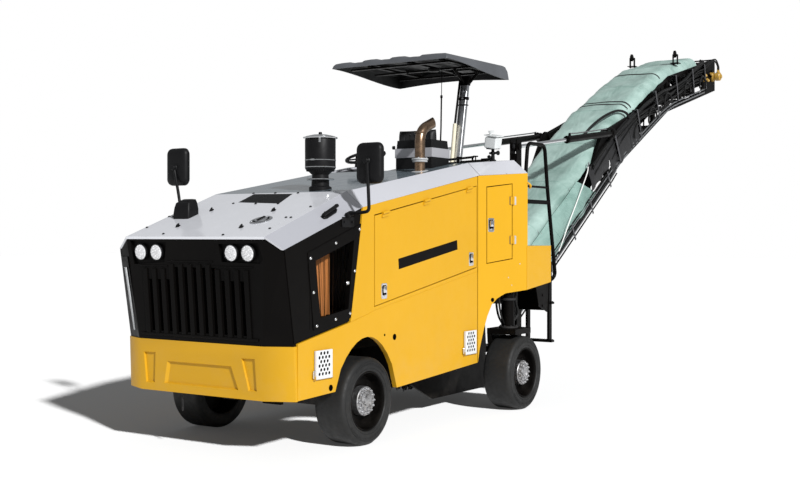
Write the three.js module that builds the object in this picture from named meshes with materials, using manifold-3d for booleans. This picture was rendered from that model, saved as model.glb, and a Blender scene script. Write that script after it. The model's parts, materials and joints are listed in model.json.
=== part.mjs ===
// Cold planer (road milling machine) on four solid rubber wheels, with a rear loading conveyor.
// Units are millimetres, +X points forward, +Y to the machine's left, +Z up.
// While it is built, x = 0 is the front axle and y = 0 the middle of the body; the last lines move
// the whole machine so that its origin is the middle of its base.
import * as THREE from 'three';
import { mergeVertices } from 'three/addons/utils/BufferGeometryUtils.js';
import { ConvexGeometry } from 'three/addons/geometries/ConvexGeometry.js';
import Module from 'manifold-3d';

const wasm = await Module();
wasm.setup();

// ---------------------------------------------------------------- driving dimensions
const GAP = 0.3;                    // between touching pieces
const RUN = 0.4;                    // between a turning piece and its seat

// wheels
const WHEEL_R = 330;
const WHEEL_W = 270;
const TYRE_BORE = 222;
const HUB_R = 109;
const WHEEL_SIDES = 24;
const WHEEL_Z = WHEEL_R * Math.cos(Math.PI / WHEEL_SIDES);
const SPINDLE_R = 48;

// axles
const WHEELBASE = 2200;
const FRONT_FACE_Y = 849;           // outer face of a front wheel
const REAR_FACE_Y = 1037;           // outer face of a rear wheel
const KINGPIN_Y = 500;
const KINGPIN_R = 20;
const AXLE_H = 110;
const AXLE_HALF_T = 65;
const KNUCKLE_H = 100;

// body shell
const WALL = 40;                    // side panels and doors
const SIDE_Y = 800;                 // outer face of the parallel sides
const SKIRT_Z = 416;                // lower edge of the bumper
const BELT_Z = 795;                 // top of the bumper, foot of the grille
const NOSE_X = 979;                 // front edge of the hood
const NOSE_Z = 1549;
const RIDGE_X = 20;                 // where the hood meets the rear hood
const RIDGE_Z = 1889;
const BEVEL_Y = 655;                // upper edge of the side bevels
const SEAM_X = -1740;               // where the rear panels begin to flare
const FLARE_X = -2300;              // where the flare ends
const FLARE_Y = 1000;               // outer face of the rear corners
const TAIL_X = -2785;               // rear end of the corner boxes
const DOOR_GAP = 8;

// platform
const FLOOR_Z = 1470;
const FLOOR_T = 30;

// milling drum
const DRUM_X = -2200;
const DRUM_R = 370;                 // over the tools
const DRUM_Z = 425;
const DRUM_Y0 = -670;
const DRUM_Y1 = 330;
const HOUSING_WALL = 25;
const HOUSING_Y0 = DRUM_Y0 - 15 - HOUSING_WALL;
const HOUSING_Y1 = DRUM_Y1 + 15 + HOUSING_WALL;
const HOUSING_X0 = DRUM_X - DRUM_R - 60;
const HOUSING_X1 = DRUM_X + DRUM_R + 70;
const HOUSING_TOP = 950;
const SHAFT_R = 60;

// conveyor
const SLEW_X = -2950;
const LUFF_X = -3200;
const LUFF_Z = 800;
const BOOM_HALF_W = 360;
const BOOM_DEPTH = 470;
const PIN_R = 30;                   // luff and cylinder pins

// ---------------------------------------------------------------- materials
function paint(color, roughness = 0.4, metalness = 0.0) {
  return new THREE.MeshStandardMaterial({ color, roughness, metalness });
}
const YELLOW = paint(0xf0b632);
const BLACK = paint(0x161412, 0.5);
const WHITE = paint(0xdfe0e4, 0.25);
const GREY_BLUE = paint(0xaab9c3, 0.2);
const RUBBER = paint(0x3c3e3c, 0.9);
const STEEL = paint(0xb8bcc0, 0.35, 0.9);
const CAST = paint(0x3a3a3c, 0.7);
const TARP = paint(0xb4d6cd, 0.7);
const DARK_GREY = paint(0x5a5c62, 0.5);
const LIGHT_GREY = paint(0xd7dada, 0.5);
const BROWN = paint(0x96683c, 0.4, 0.7);
const VINYL = paint(0x232426, 0.7);

// ---------------------------------------------------------------- solids
function solid(geometry) {
  const bare = geometry.clone();
  for (const name of Object.keys(bare.attributes)) {
    if (name !== 'position') bare.deleteAttribute(name);
  }
  const welded = mergeVertices(bare.index ? bare.toNonIndexed() : bare, 1e-3);
  return new wasm.Manifold(new wasm.Mesh({
    numProp: 3,
    vertProperties: new Float32Array(welded.attributes.position.array),
    triVerts: new Uint32Array(welded.index.array),
  }));
}

function geometryOf(body) {
  const mesh = body.getMesh();
  const geometry = new THREE.BufferGeometry();
  geometry.setAttribute('position', new THREE.BufferAttribute(mesh.vertProperties, 3));
  geometry.setIndex(new THREE.BufferAttribute(mesh.triVerts, 1));
  geometry.computeVertexNormals();
  return geometry;
}

function union(...bodies) {
  return bodies.flat().reduce((sum, body) => sum.add(body));
}

function cut(body, ...tools) {
  return tools.flat().reduce((rest, tool) => rest.subtract(tool), body);
}

function placed(geometry, matrix) {
  return solid(geometry.applyMatrix4(matrix));
}

function box(x0, x1, y0, y1, z0, z1) {
  const geometry = new THREE.BoxGeometry(x1 - x0, y1 - y0, z1 - z0);
  geometry.translate((x0 + x1) / 2, (y0 + y1) / 2, (z0 + z1) / 2);
  return solid(geometry);
}

// A convex block through the given corner points.
function hull(points) {
  return solid(new ConvexGeometry(points.map((p) => new THREE.Vector3(...p))));
}

// A flat convex plate: its outer corners and the vector to its inner face.
function slab(points, [dx, dy, dz]) {
  return hull([...points, ...points.map(([x, y, z]) => [x + dx, y + dy, z + dz])]);
}

function outline(points) {
  return new THREE.Shape(points.map(([u, v]) => new THREE.Vector2(u, v)));
}

// Prisms along each axis; the outline is given in the other two, in X, Y, Z order.
function prismX(points, x0, x1) {
  const geometry = new THREE.ExtrudeGeometry(outline(points), { depth: x1 - x0, bevelEnabled: false });
  const axes = new THREE.Matrix4().makeBasis(
    new THREE.Vector3(0, 1, 0), new THREE.Vector3(0, 0, 1), new THREE.Vector3(1, 0, 0));
  return placed(geometry, axes.setPosition(x0, 0, 0));
}

function prismY(points, y0, y1) {
  const geometry = new THREE.ExtrudeGeometry(outline(points), { depth: y1 - y0, bevelEnabled: false });
  const axes = new THREE.Matrix4().makeBasis(
    new THREE.Vector3(1, 0, 0), new THREE.Vector3(0, 0, 1), new THREE.Vector3(0, -1, 0));
  return placed(geometry, axes.setPosition(0, y1, 0));
}

function prismZ(points, z0, z1) {
  const geometry = new THREE.ExtrudeGeometry(outline(points), { depth: z1 - z0, bevelEnabled: false });
  geometry.translate(0, 0, z0);
  return solid(geometry);
}

// A round bar between two points.
function rod(from, to, radius, sides = 16) {
  const start = new THREE.Vector3(...from);
  const end = new THREE.Vector3(...to);
  const axis = end.clone().sub(start);
  const geometry = new THREE.CylinderGeometry(radius, radius, axis.length(), sides);
  geometry.rotateY(Math.PI / sides);
  const turn = new THREE.Quaternion().setFromUnitVectors(new THREE.Vector3(0, 1, 0),
    axis.clone().normalize());
  const middle = start.add(end).multiplyScalar(0.5);
  return placed(geometry, new THREE.Matrix4().compose(middle, turn, new THREE.Vector3(1, 1, 1)));
}

// The tool for a bore in which a bar of this radius and number of sides turns freely.
function bore(from, to, radius, sides = 24) {
  return rod(from, to, (radius + RUN) / Math.cos(Math.PI / sides), sides);
}

// A bent tube through points, its corners rounded off at the given radius.
function pipe(points, radius, corner = 60, sides = 8) {
  const nodes = points.map((p) => new THREE.Vector3(...p));
  const path = new THREE.CurvePath();
  let start = nodes[0];
  for (let i = 1; i < nodes.length - 1; i += 1) {
    const before = nodes[i - 1].clone().sub(nodes[i]);
    const after = nodes[i + 1].clone().sub(nodes[i]);
    const reach = Math.min(corner, before.length() * 0.45, after.length() * 0.45);
    const enter = nodes[i].clone().add(before.setLength(reach));
    const leave = nodes[i].clone().add(after.setLength(reach));
    path.add(new THREE.LineCurve3(start, enter));
    path.add(new THREE.QuadraticBezierCurve3(enter, nodes[i], leave));
    start = leave;
  }
  path.add(new THREE.LineCurve3(start, nodes[nodes.length - 1]));
  const section = new THREE.Shape();
  section.absarc(0, 0, radius, 0, 2 * Math.PI);
  const steps = Math.max(8, Math.min(24, Math.round(path.getLength() / 90)));
  return solid(new THREE.ExtrudeGeometry(section, {
    steps, extrudePath: path, curveSegments: sides / 2, bevelEnabled: false,
  }));
}

// A solid of revolution about a line along Y; the profile is [radius, y].
function turned(profile, x, z, sides) {
  const geometry = new THREE.LatheGeometry(
    profile.map(([r, y]) => new THREE.Vector2(r, y)), sides, Math.PI / sides);
  return placed(geometry, new THREE.Matrix4().setPosition(x, 0, z));
}

// The same about a vertical line; the profile is [radius, z].
function turnedUp(profile, x, y, sides) {
  const geometry = new THREE.LatheGeometry(
    profile.map(([r, z]) => new THREE.Vector2(r, z)), sides, Math.PI / sides);
  geometry.rotateX(Math.PI / 2);
  geometry.translate(x, y, 0);
  return solid(geometry);
}

function mirrored(body) {
  const geometry = geometryOf(body).toNonIndexed();
  geometry.scale(1, -1, 1);
  const at = geometry.attributes.position;
  for (let i = 0; i < at.count; i += 3) {
    const second = new THREE.Vector3().fromBufferAttribute(at, i + 1);
    const third = new THREE.Vector3().fromBufferAttribute(at, i + 2);
    at.setXYZ(i + 1, third.x, third.y, third.z);
    at.setXYZ(i + 2, second.x, second.y, second.z);
  }
  return solid(geometry);
}

const machine = new THREE.Group();

function add(name, body, material) {
  const mesh = new THREE.Mesh(geometryOf(body), material);
  mesh.name = name;
  machine.add(mesh);
}

// A left piece and its mirror image on the right.
function addPair(name, body, material) {
  add(`${name}_left`, body, material);
  add(`${name}_right`, mirrored(body), material);
}

// ---------------------------------------------------------------- heights along the body
function between(a, b, t) {
  return a + (b - a) * t;
}
// Lower edge of the bevel, which is the upper edge of the sides.
const EAVE = [[926, 1458], [6, 1768], [-1756, 2079], [-2300, 2118]];
// Upper edge of the bevel, which is the edge of the hood.
const CREST = [[NOSE_X, NOSE_Z], [RIDGE_X, RIDGE_Z], [-1820, 2197], [-2300, 2240]];
function heightOn(line, x) {
  let i = 0;
  while (i < line.length - 2 && x < line[i + 1][0]) i += 1;
  const [[xa, za], [xb, zb]] = [line[i], line[i + 1]];
  return between(za, zb, (x - xa) / (xb - xa));
}
const eaveZ = (x) => heightOn(EAVE, x);
const crestZ = (x) => heightOn(CREST, x);

// ---------------------------------------------------------------- wheels
function tyre(faceY) {
  const inner = faceY - WHEEL_W;
  const shoulder = 29;
  return turned([
    [TYRE_BORE, inner], [WHEEL_R - shoulder, inner], [WHEEL_R, inner + shoulder],
    [WHEEL_R, faceY - shoulder], [WHEEL_R - shoulder, faceY], [TYRE_BORE, faceY],
    [TYRE_BORE, inner],
  ], 0, 0, WHEEL_SIDES);
}

const RIM_R = TYRE_BORE - GAP;
const WEB_T = 26;
const WEB_IN = 96;                  // from the outer face to the web
function rim(faceY) {
  const web = faceY - WEB_IN;
  return turned([
    [0, web - WEB_T - 30], [70, web - WEB_T - 30], [70, web - WEB_T], [200, web - WEB_T],
    [200, faceY - WHEEL_W + 12], [RIM_R, faceY - WHEEL_W + 12], [RIM_R, faceY - 12],
    [206, faceY - 12], [200, web], [HUB_R, web],
    [HUB_R, faceY - 14], [HUB_R - 10, faceY - 6], [0, faceY - 6],
  ], 0, 0, WHEEL_SIDES);
}
const HUB_IN = WEB_IN + WEB_T + 30; // from the outer face to the back of the hub

function wheel(corner, x, faceY, side) {
  const shift = new THREE.Matrix4().setPosition(x, 0, WHEEL_Z);
  for (const [name, body, material] of [
    [`tyre_${corner}`, tyre(faceY), RUBBER],
    [`hub_${corner}`, rim(faceY), STEEL],
  ]) {
    const handed = side > 0 ? body : mirrored(body);
    add(name, placed(geometryOf(handed), shift), material);
  }
}
wheel('front_left', 0, FRONT_FACE_Y, 1);
wheel('front_right', 0, FRONT_FACE_Y, -1);
wheel('rear_left', -WHEELBASE, REAR_FACE_Y, 1);
wheel('rear_right', -WHEELBASE, REAR_FACE_Y, -1);

// ---------------------------------------------------------------- front axle and knuckles
const LUG_T = 34;
function frontAxle() {
  const half = KINGPIN_Y - 62;
  const beam = box(-AXLE_HALF_T, AXLE_HALF_T, -half - 20, half + 20, WHEEL_Z - AXLE_H / 2,
    WHEEL_Z + AXLE_H / 2);
  const lugZ = KNUCKLE_H / 2 + RUN;
  const lugs = [];
  for (const side of [-1, 1]) {
    for (const level of [-1, 1]) {
      const z0 = WHEEL_Z + (level > 0 ? lugZ : -lugZ - LUG_T);
      lugs.push(box(-55, 55, side > 0 ? half : -KINGPIN_Y - 48, side > 0 ? KINGPIN_Y + 48 : -half,
        z0, z0 + LUG_T));
    }
    lugs.push(box(-55, 55, side * half - 20, side * half + 20, WHEEL_Z - lugZ - LUG_T,
      WHEEL_Z + lugZ + LUG_T));
  }
  const bores = [-1, 1].map((side) => bore(
    [0, side * KINGPIN_Y, WHEEL_Z - 150], [0, side * KINGPIN_Y, WHEEL_Z + 150], KINGPIN_R, 16));
  return cut(union(beam, lugs), bores);
}
add('front_axle', frontAxle(), CAST);

function knuckle() {
  const hubBack = FRONT_FACE_Y - HUB_IN;
  const barrel = rod([0, KINGPIN_Y, WHEEL_Z - KNUCKLE_H / 2],
    [0, KINGPIN_Y, WHEEL_Z + KNUCKLE_H / 2], 40, 16);
  const pin = rod([0, KINGPIN_Y, WHEEL_Z - 92], [0, KINGPIN_Y, WHEEL_Z + 92], KINGPIN_R, 16);
  const spindle = rod([0, KINGPIN_Y, WHEEL_Z], [0, hubBack - RUN, WHEEL_Z], SPINDLE_R, 16);
  const arm = box(-190, 0, KINGPIN_Y, KINGPIN_Y + 44, WHEEL_Z - 20, WHEEL_Z + 20);
  return union(barrel, pin, spindle, arm);
}
addPair('knuckle', knuckle(), CAST);

// ---------------------------------------------------------------- main frame
const RAIL_Y0 = 250;
const RAIL_Y1 = 330;
const RAIL_Z0 = 640;
const RAIL_Z1 = 860;
const PORTAL_Z0 = 1110;
const PORTAL_Z1 = 1400;
const COLUMN_Y = 858;
const COLUMN_R = 54;
const ARM_Z0 = 1300;                // upper slew arm
const ARM_Z1 = 1400;
const TONGUE_Z0 = 330;              // lower slew tongue
const TONGUE_Z1 = 400;
const SLEW_PIN_R = 40;
function mainFrame() {
  const rails = [-1, 1].map((side) => box(
    -1600, 640, side > 0 ? RAIL_Y0 : -RAIL_Y1, side > 0 ? RAIL_Y1 : -RAIL_Y0, RAIL_Z0, RAIL_Z1));
  const seat = HOUSING_TOP + GAP;
  const risers = [-1, 1].map((side) => prismY(
    [[-1480, 700], [HOUSING_X1 + 25, 700], [HOUSING_X1 + 25, seat], [-1900, seat], [-2070, PORTAL_Z0],
      [-2070, PORTAL_Z1], [-1960, PORTAL_Z1], [-1480, RAIL_Z1]],
    side > 0 ? RAIL_Y0 : -RAIL_Y1, side > 0 ? RAIL_Y1 : -RAIL_Y0));
  const inner = SIDE_Y - WALL - GAP;
  const ties = [540, -620, -1560].map((x) => box(x, x + 90, -inner, inner, RAIL_Z0 + 90, RAIL_Z1));
  const portal = box(-2330, -2060, -COLUMN_Y + 10, COLUMN_Y - 10, PORTAL_Z0, PORTAL_Z1);
  const nose = box(560, 780, -560, 560, 520, RAIL_Z1 - 80);
  const near = AXLE_HALF_T + GAP;
  const bracket = [
    box(near, near + 35, -90, 90, 250, RAIL_Z1),
    box(-near - 35, -near, -90, 90, 250, RAIL_Z1)];
  const saddle = box(-110, 110, -RAIL_Y1, RAIL_Y1, RAIL_Z0 - 40, RAIL_Z1 - 60);
  const arm = box(SLEW_X - 80, -2300, -140, 140, ARM_Z0, ARM_Z1);
  const armBore = bore([SLEW_X, 0, ARM_Z0 - 50], [SLEW_X, 0, ARM_Z1 + 50], SLEW_PIN_R);
  const bores = [-1, 1].map((side) => rod(
    [-WHEELBASE, side * COLUMN_Y, PORTAL_Z0 - 50], [-WHEELBASE, side * COLUMN_Y, PORTAL_Z1 + 50],
    COLUMN_R + 0.5, 16));
  return cut(union(rails, risers, ties, portal, nose, bracket, saddle, arm), armBore, bores);
}
add('main_frame', mainFrame(), BLACK);

// ---------------------------------------------------------------- rear legs
const LEG_PLATE_Z = WHEEL_Z + WHEEL_R + 40;
function rearLeg() {
  const column = rod([-WHEELBASE, COLUMN_Y, LEG_PLATE_Z], [-WHEELBASE, COLUMN_Y, PORTAL_Z1 - 10],
    COLUMN_R, 16);
  const innerY = REAR_FACE_Y - WHEEL_W - 12;
  const plate = box(-WHEELBASE - 150, -WHEELBASE + 150, innerY - 36, REAR_FACE_Y - 30,
    LEG_PLATE_Z - 25, LEG_PLATE_Z + 25);
  const fork = prismY([
    [-WHEELBASE - 110, WHEEL_Z - 60], [-WHEELBASE + 110, WHEEL_Z - 60],
    [-WHEELBASE + 150, LEG_PLATE_Z], [-WHEELBASE - 150, LEG_PLATE_Z]], innerY - 36, innerY);
  const hubBack = REAR_FACE_Y - HUB_IN;
  const spindle = rod([-WHEELBASE, innerY - 10, WHEEL_Z], [-WHEELBASE, hubBack - RUN, WHEEL_Z],
    SPINDLE_R + 30, 16);
  return union(column, plate, fork, spindle);
}
addPair('rear_leg', rearLeg(), BLACK);

// ---------------------------------------------------------------- milling drum and its housing
function drumHousing() {
  const sideShape = [
    [-1335, 264], [-1680, 100], [HOUSING_X0 - 20, 100], [HOUSING_X0 - 40, 500], [HOUSING_X0, HOUSING_TOP],
    [HOUSING_X1, HOUSING_TOP], [HOUSING_X1, 690], [-1440, 560], [-1335, 420]];
  const sides = [
    prismY(sideShape, HOUSING_Y1 - HOUSING_WALL, HOUSING_Y1),
    prismY(sideShape, HOUSING_Y0, HOUSING_Y0 + HOUSING_WALL)];
  const top = box(HOUSING_X0, HOUSING_X1, HOUSING_Y0, HOUSING_Y1, HOUSING_TOP - HOUSING_WALL, HOUSING_TOP);
  const front = box(HOUSING_X1 - HOUSING_WALL, HOUSING_X1, HOUSING_Y0, HOUSING_Y1, 300, HOUSING_TOP);
  const head = box(HOUSING_X0, HOUSING_X0 + HOUSING_WALL, HOUSING_Y0, HOUSING_Y1, 800, HOUSING_TOP);
  const tongue = prismZ([
    [HOUSING_X0 + 10, HOUSING_Y0], [HOUSING_X0 + 10, HOUSING_Y1], [HOUSING_X0 - 70, HOUSING_Y1],
    [SLEW_X - 10, 130], [SLEW_X - 80, 60], [SLEW_X - 80, -60], [SLEW_X - 10, -130],
      [HOUSING_X0 - 70, HOUSING_Y0]],
    TONGUE_Z0, TONGUE_Z1);
  const tongueBore = bore([SLEW_X, 0, TONGUE_Z0 - 50], [SLEW_X, 0, TONGUE_Z1 + 50], SLEW_PIN_R);
  const shaftBore = bore([DRUM_X, HOUSING_Y0 - 50, DRUM_Z], [DRUM_X, HOUSING_Y1 + 50, DRUM_Z], SHAFT_R);
  return cut(union(sides, top, front, head, tongue), tongueBore, shaftBore);
}
add('drum_housing', drumHousing(), BLACK);

function drum() {
  const shell = turned([
    [0, DRUM_Y0], [DRUM_R - 60, DRUM_Y0], [DRUM_R - 60, DRUM_Y1], [0, DRUM_Y1]], DRUM_X, DRUM_Z, 24);
  const shaft = rod([DRUM_X, HOUSING_Y0 + 2, DRUM_Z], [DRUM_X, HOUSING_Y1 - 2, DRUM_Z], SHAFT_R, 24);
  const rings = [];
  const turns = 8;
  for (let i = 0; i < turns; i += 1) {
    const y = between(DRUM_Y0 + 40, DRUM_Y1 - 40, i / (turns - 1));
    for (let k = 0; k < 3; k += 1) {
      const angle = k * Math.PI * 2 / 3 + Math.abs(i - (turns - 1) / 2) * 0.5;
      const c = Math.cos(angle);
      const s = Math.sin(angle);
      rings.push(rod([DRUM_X + c * (DRUM_R - 80), y, DRUM_Z + s * (DRUM_R - 80)],
        [DRUM_X + c * DRUM_R, y, DRUM_Z + s * DRUM_R], 20, 5));
    }
  }
  return union(shell, shaft, rings);
}
add('milling_drum', drum(), CAST);

// ---------------------------------------------------------------- bumper, grille and louvre panels
const BUMPER_T = 60;
const FRONT_HALF = 600;
function bumper() {
  const foot = [[898, -585], [898, 585], [803, 797], [803, -797]];
  const head = [[916, -FRONT_HALF], [916, FRONT_HALF], [821, 790], [821, -790]];
  const outer = hull([
    ...foot.map(([x, y]) => [x, y, SKIRT_Z]), ...head.map(([x, y]) => [x, y, BELT_Z]),
    [700, 797, SKIRT_Z], [700, -797, SKIRT_Z], [700, 790, BELT_Z], [700, -790, BELT_Z]]);
  const inside = hull([
    ...foot.map(([x, y]) => [x - BUMPER_T, y * 0.93, SKIRT_Z - 10]),
    ...head.map(([x, y]) => [x - BUMPER_T, y * 0.93, BELT_Z - 25]),
    [600, 740, SKIRT_Z - 10], [600, -740, SKIRT_Z - 10], [600, 740, BELT_Z - 25],
      [600, -740, BELT_Z - 25]]);
  return cut(outer, inside, box(600, 783, -900, 900, 300, 900));
}
add('front_bumper', bumper(), YELLOW);

const GRILLE_T = 45;
const HOOD_T = 18;
function grille() {
  const z0 = BELT_Z + GAP;
  const top = NOSE_Z - HOOD_T - GAP;
  const front = slab([
    [910, -596, z0], [910, 596, z0], [NOSE_X - 6, 660, top], [NOSE_X - 6, -660, top]], [-GRILLE_T, 0, 0]);
  const chamfers = [-1, 1].map((side) => slab([
    [910, side * 596, z0], [815, side * 786, z0], [922, side * 786, 1444],
      [NOSE_X - 6, side * 660, top - 8]],
    [-GRILLE_T, -side * 4, 0]));
  const slots = [];
  for (let i = -5; i <= 5; i += 1) {
    const high = Math.abs(i) < 3 ? 1330 : 1240;
    slots.push(box(700, 1100, i * 88 - 19, i * 88 + 19, 860, high));
  }
  const notches = [-1, 1].map((side) => box(
    600, 783, side > 0 ? 755 : -900, side > 0 ? 900 : -755, 700, 815 + GAP));
  return cut(union(front, chamfers), slots, notches);
}

function louvrePanel() {
  const shape = [[812, 815], [172, 930], [36, 1640], [16, eaveZ(16) - GAP], [918, eaveZ(918) - GAP]];
  const plate = prismY(shape, SIDE_Y - WALL, SIDE_Y - 8);
  const slots = [];
  for (let i = 0; i < 8; i += 1) {
    const x = 640 - i * 56;
    const low = 900 + i * 10;
    const high = eaveZ(x) - 200;
    slots.push(prismY([[x, low], [x + 34, low - 6], [x + 34, high], [x, high + 12]], SIDE_Y - 100,
      SIDE_Y + 50));
  }
  return cut(plate, slots);
}
add('front_grille', union(grille(), louvrePanel(), mirrored(louvrePanel())), BLACK);

// ---------------------------------------------------------------- yellow side panels and big doors
const DOOR = { x0: -1712, x1: -150 };
const doorTop = (x) => eaveZ(x) - 90;
const doorFoot = (x) => between(1028, 1285, (x + 168) / (-1733 + 168));
function doorShape(grow) {
  return [
    [DOOR.x1 + grow, doorFoot(DOOR.x1) - grow], [DOOR.x0 - grow, doorFoot(DOOR.x0) - grow],
    [DOOR.x0 - grow, doorTop(DOOR.x0) + grow], [DOOR.x1 + grow, doorTop(DOOR.x1) + grow]];
}

// A hinge's barrel lying on a face: its line in that face and the face's outward direction.
const BARREL_R = 11;
const BARREL_OUT = BARREL_R + GAP;
function hingeBarrel(from, to, outward) {
  const lift = (point) => point.map((value, i) => value + outward[i] * BARREL_OUT);
  return rod(lift(from), lift(to), BARREL_R, 12);
}

function archPoints(x0, z0, x1, z1, top, bulge, steps) {
  const points = [];
  for (let i = 0; i <= steps; i += 1) {
    const t = i / steps;
    const lift = Math.sin(Math.PI * t) ** bulge;
    points.push([between(x0, x1, t), between(z0, z1, t) + lift * (top - between(z0, z1, t))]);
  }
  return points;
}

const ARCH_FRONT = 352;
const ARCH_REAR = -452;
const ARCH_TOP = 800;
function sidePanel() {
  const lower = SKIRT_Z + 4;
  const arch = archPoints(ARCH_FRONT, 435, ARCH_REAR, 374, ARCH_TOP, 0.62, 12);
  // Inside, the arch is relieved where the steered tyre's edge swings past.
  const relief = box(ARCH_FRONT - 130, ARCH_FRONT + 48, SIDE_Y - WALL - 5, SIDE_Y - 9, 340, 740);
  const shape = [
    [783 - GAP, lower], ...arch, [SEAM_X + 9, 446], [SEAM_X + 9, eaveZ(SEAM_X + 9) - GAP],
      [6, eaveZ(6) - GAP],
    [26, 1636], [162, 922], [783 - GAP, 812]];
  const doorway = prismY(doorShape(DOOR_GAP), SIDE_Y - 100, SIDE_Y + 100);
  return cut(prismY(shape, SIDE_Y - WALL, SIDE_Y), doorway, relief);
}
addPair('side_panel', sidePanel(), YELLOW);
// The door hangs from three barrels along its sloping top edge.
function sideDoor() {
  const line = (x) => doorTop(x) + DOOR_GAP / 2;
  const hinges = [-1620, -930, -330].flatMap((x) => [
    hingeBarrel([x, SIDE_Y, line(x)], [x + 90, SIDE_Y, line(x + 90)], [0, 1, 0]),
    prismY([[x, line(x) - 32], [x + 90, line(x + 90) - 32], [x + 90, line(x + 90) - 2], [x, line(x) - 2]],
      SIDE_Y - 5, SIDE_Y + 10)]);
  return union(prismY(doorShape(0), SIDE_Y - WALL + 4, SIDE_Y), hinges);
}
addPair('side_door', sideDoor(), YELLOW);

// ---------------------------------------------------------------- flared rear panels and small doors
const FLARE_ANGLE = Math.atan2(FLARE_Y - SIDE_Y, SEAM_X - FLARE_X);
const FLARE_LENGTH = Math.hypot(FLARE_Y - SIDE_Y, SEAM_X - FLARE_X);
// Shapes on the flare are drawn with s, the distance back from the seam, and z.
function flared(points, depth0, depth1) {
  const geometry = new THREE.ExtrudeGeometry(outline(points),
    { depth: depth1 - depth0, bevelEnabled: false });
  geometry.translate(0, 0, depth0);
  const along = new THREE.Vector3(-Math.cos(FLARE_ANGLE), Math.sin(FLARE_ANGLE), 0);
  const up = new THREE.Vector3(0, 0, 1);
  const outward = new THREE.Vector3().crossVectors(along, up);
  return placed(geometry, new THREE.Matrix4().makeBasis(along, up, outward).setPosition(SEAM_X, SIDE_Y, 0));
}
const CORNER_IN = 620;              // inner face of a corner box
const CORNER_TOP = 1459;
const SMALL_DOOR = { s0: 107, s1: 402, foot0: 1313, foot1: 1351, top0: 1976, top1: 2012 };
function smallDoorShape(grow) {
  const d = SMALL_DOOR;
  return [[d.s0 - grow, d.foot0 - grow], [d.s1 + grow, d.foot1 - grow],
    [d.s1 + grow, d.top1 + grow], [d.s0 - grow, d.top0 + grow]];
}
function rearPanel() {
  const x1 = FLARE_X;
  const plate = flared([
    [GAP, 446], [20, 560], [70, 736], [112, 850], [163, 945], [223, 996], [276, 1020], [327, 1040],
    [FLARE_LENGTH, 1064], [FLARE_LENGTH, eaveZ(FLARE_X) - GAP], [GAP, eaveZ(SEAM_X) - GAP]], -WALL, 0);
  const outer = prismY([[x1 + 12, 1064], [TAIL_X, 1117], [TAIL_X, CORNER_TOP], [x1 + 12, CORNER_TOP]],
    FLARE_Y - WALL, FLARE_Y);
  const lid = box(TAIL_X, x1 - 10, CORNER_IN, FLARE_Y - 10, CORNER_TOP - 25, CORNER_TOP);
  const back = box(TAIL_X, TAIL_X + 25, CORNER_IN, FLARE_Y - 10, 1117, CORNER_TOP);
  const inner = box(TAIL_X, x1 - 60, CORNER_IN, CORNER_IN + 25, 1117, CORNER_TOP);
  const edge = rod([x1, FLARE_Y - WALL, 1070], [x1, FLARE_Y - WALL, eaveZ(FLARE_X) - 40], 26, 12);
  return cut(union(plate, outer, lid, back, inner, edge), flared(smallDoorShape(DOOR_GAP), -WALL - 60, 60));
}
addPair('rear_panel', rearPanel(), YELLOW);
function onFlare(s, depth, z) {
  const [c, n] = [Math.cos(FLARE_ANGLE), Math.sin(FLARE_ANGLE)];
  return [SEAM_X - s * c + depth * n, SIDE_Y + s * n + depth * c, z];
}
// The door hangs from two barrels at its rear edge.
function rearDoor() {
  const edge = SMALL_DOOR.s1;
  const hinges = [1480, 1830].flatMap((z) => [
    rod(onFlare(edge + DOOR_GAP, BARREL_OUT, z), onFlare(edge + DOOR_GAP, BARREL_OUT, z + 70),
      BARREL_R, 12),
    flared([[edge - 24, z], [edge + 3, z], [edge + 3, z + 70], [edge - 24, z + 70]], -5, 10)]);
  return union(flared(smallDoorShape(0), -WALL + 4, 0), hinges);
}
addPair('rear_door', rearDoor(), YELLOW);

// ---------------------------------------------------------------- hood and rear hood
const BEVEL_T = 22;
function bevel(x0, x1, y0, y1, crest0, crest1) {
  return slab([
    [x0, y0, eaveZ(x0)], [x1, y1, eaveZ(x1)], [crest1[0], crest1[1], crestZ(crest1[0])],
    [crest0[0], crest0[1], crestZ(crest0[0])]], [0, -BEVEL_T, 0]);
}
const COCKPIT_X1 = -1400;
const COCKPIT_Y0 = -600;
const COCKPIT_Y1 = 80;
const SEAM = 3;                     // open seam between hood and rear hood
function hood() {
  const top = slab([
    [NOSE_X, -664, NOSE_Z], [NOSE_X, 664, NOSE_Z], [RIDGE_X, BEVEL_Y, RIDGE_Z],
      [RIDGE_X, -BEVEL_Y, RIDGE_Z]],
    [0, 0, -HOOD_T]);
  const left = hull([
    [926, 790, 1458], [6 + GAP, SIDE_Y, eaveZ(6)], [RIDGE_X, BEVEL_Y, RIDGE_Z], [NOSE_X, 664, NOSE_Z],
    [926, 768, 1458], [6 + GAP, SIDE_Y - BEVEL_T, eaveZ(6)], [RIDGE_X, BEVEL_Y - 30, RIDGE_Z],
    [NOSE_X, 640, NOSE_Z]]);
  return union(top, left, mirrored(left));
}
add('hood', hood(), WHITE);

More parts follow.
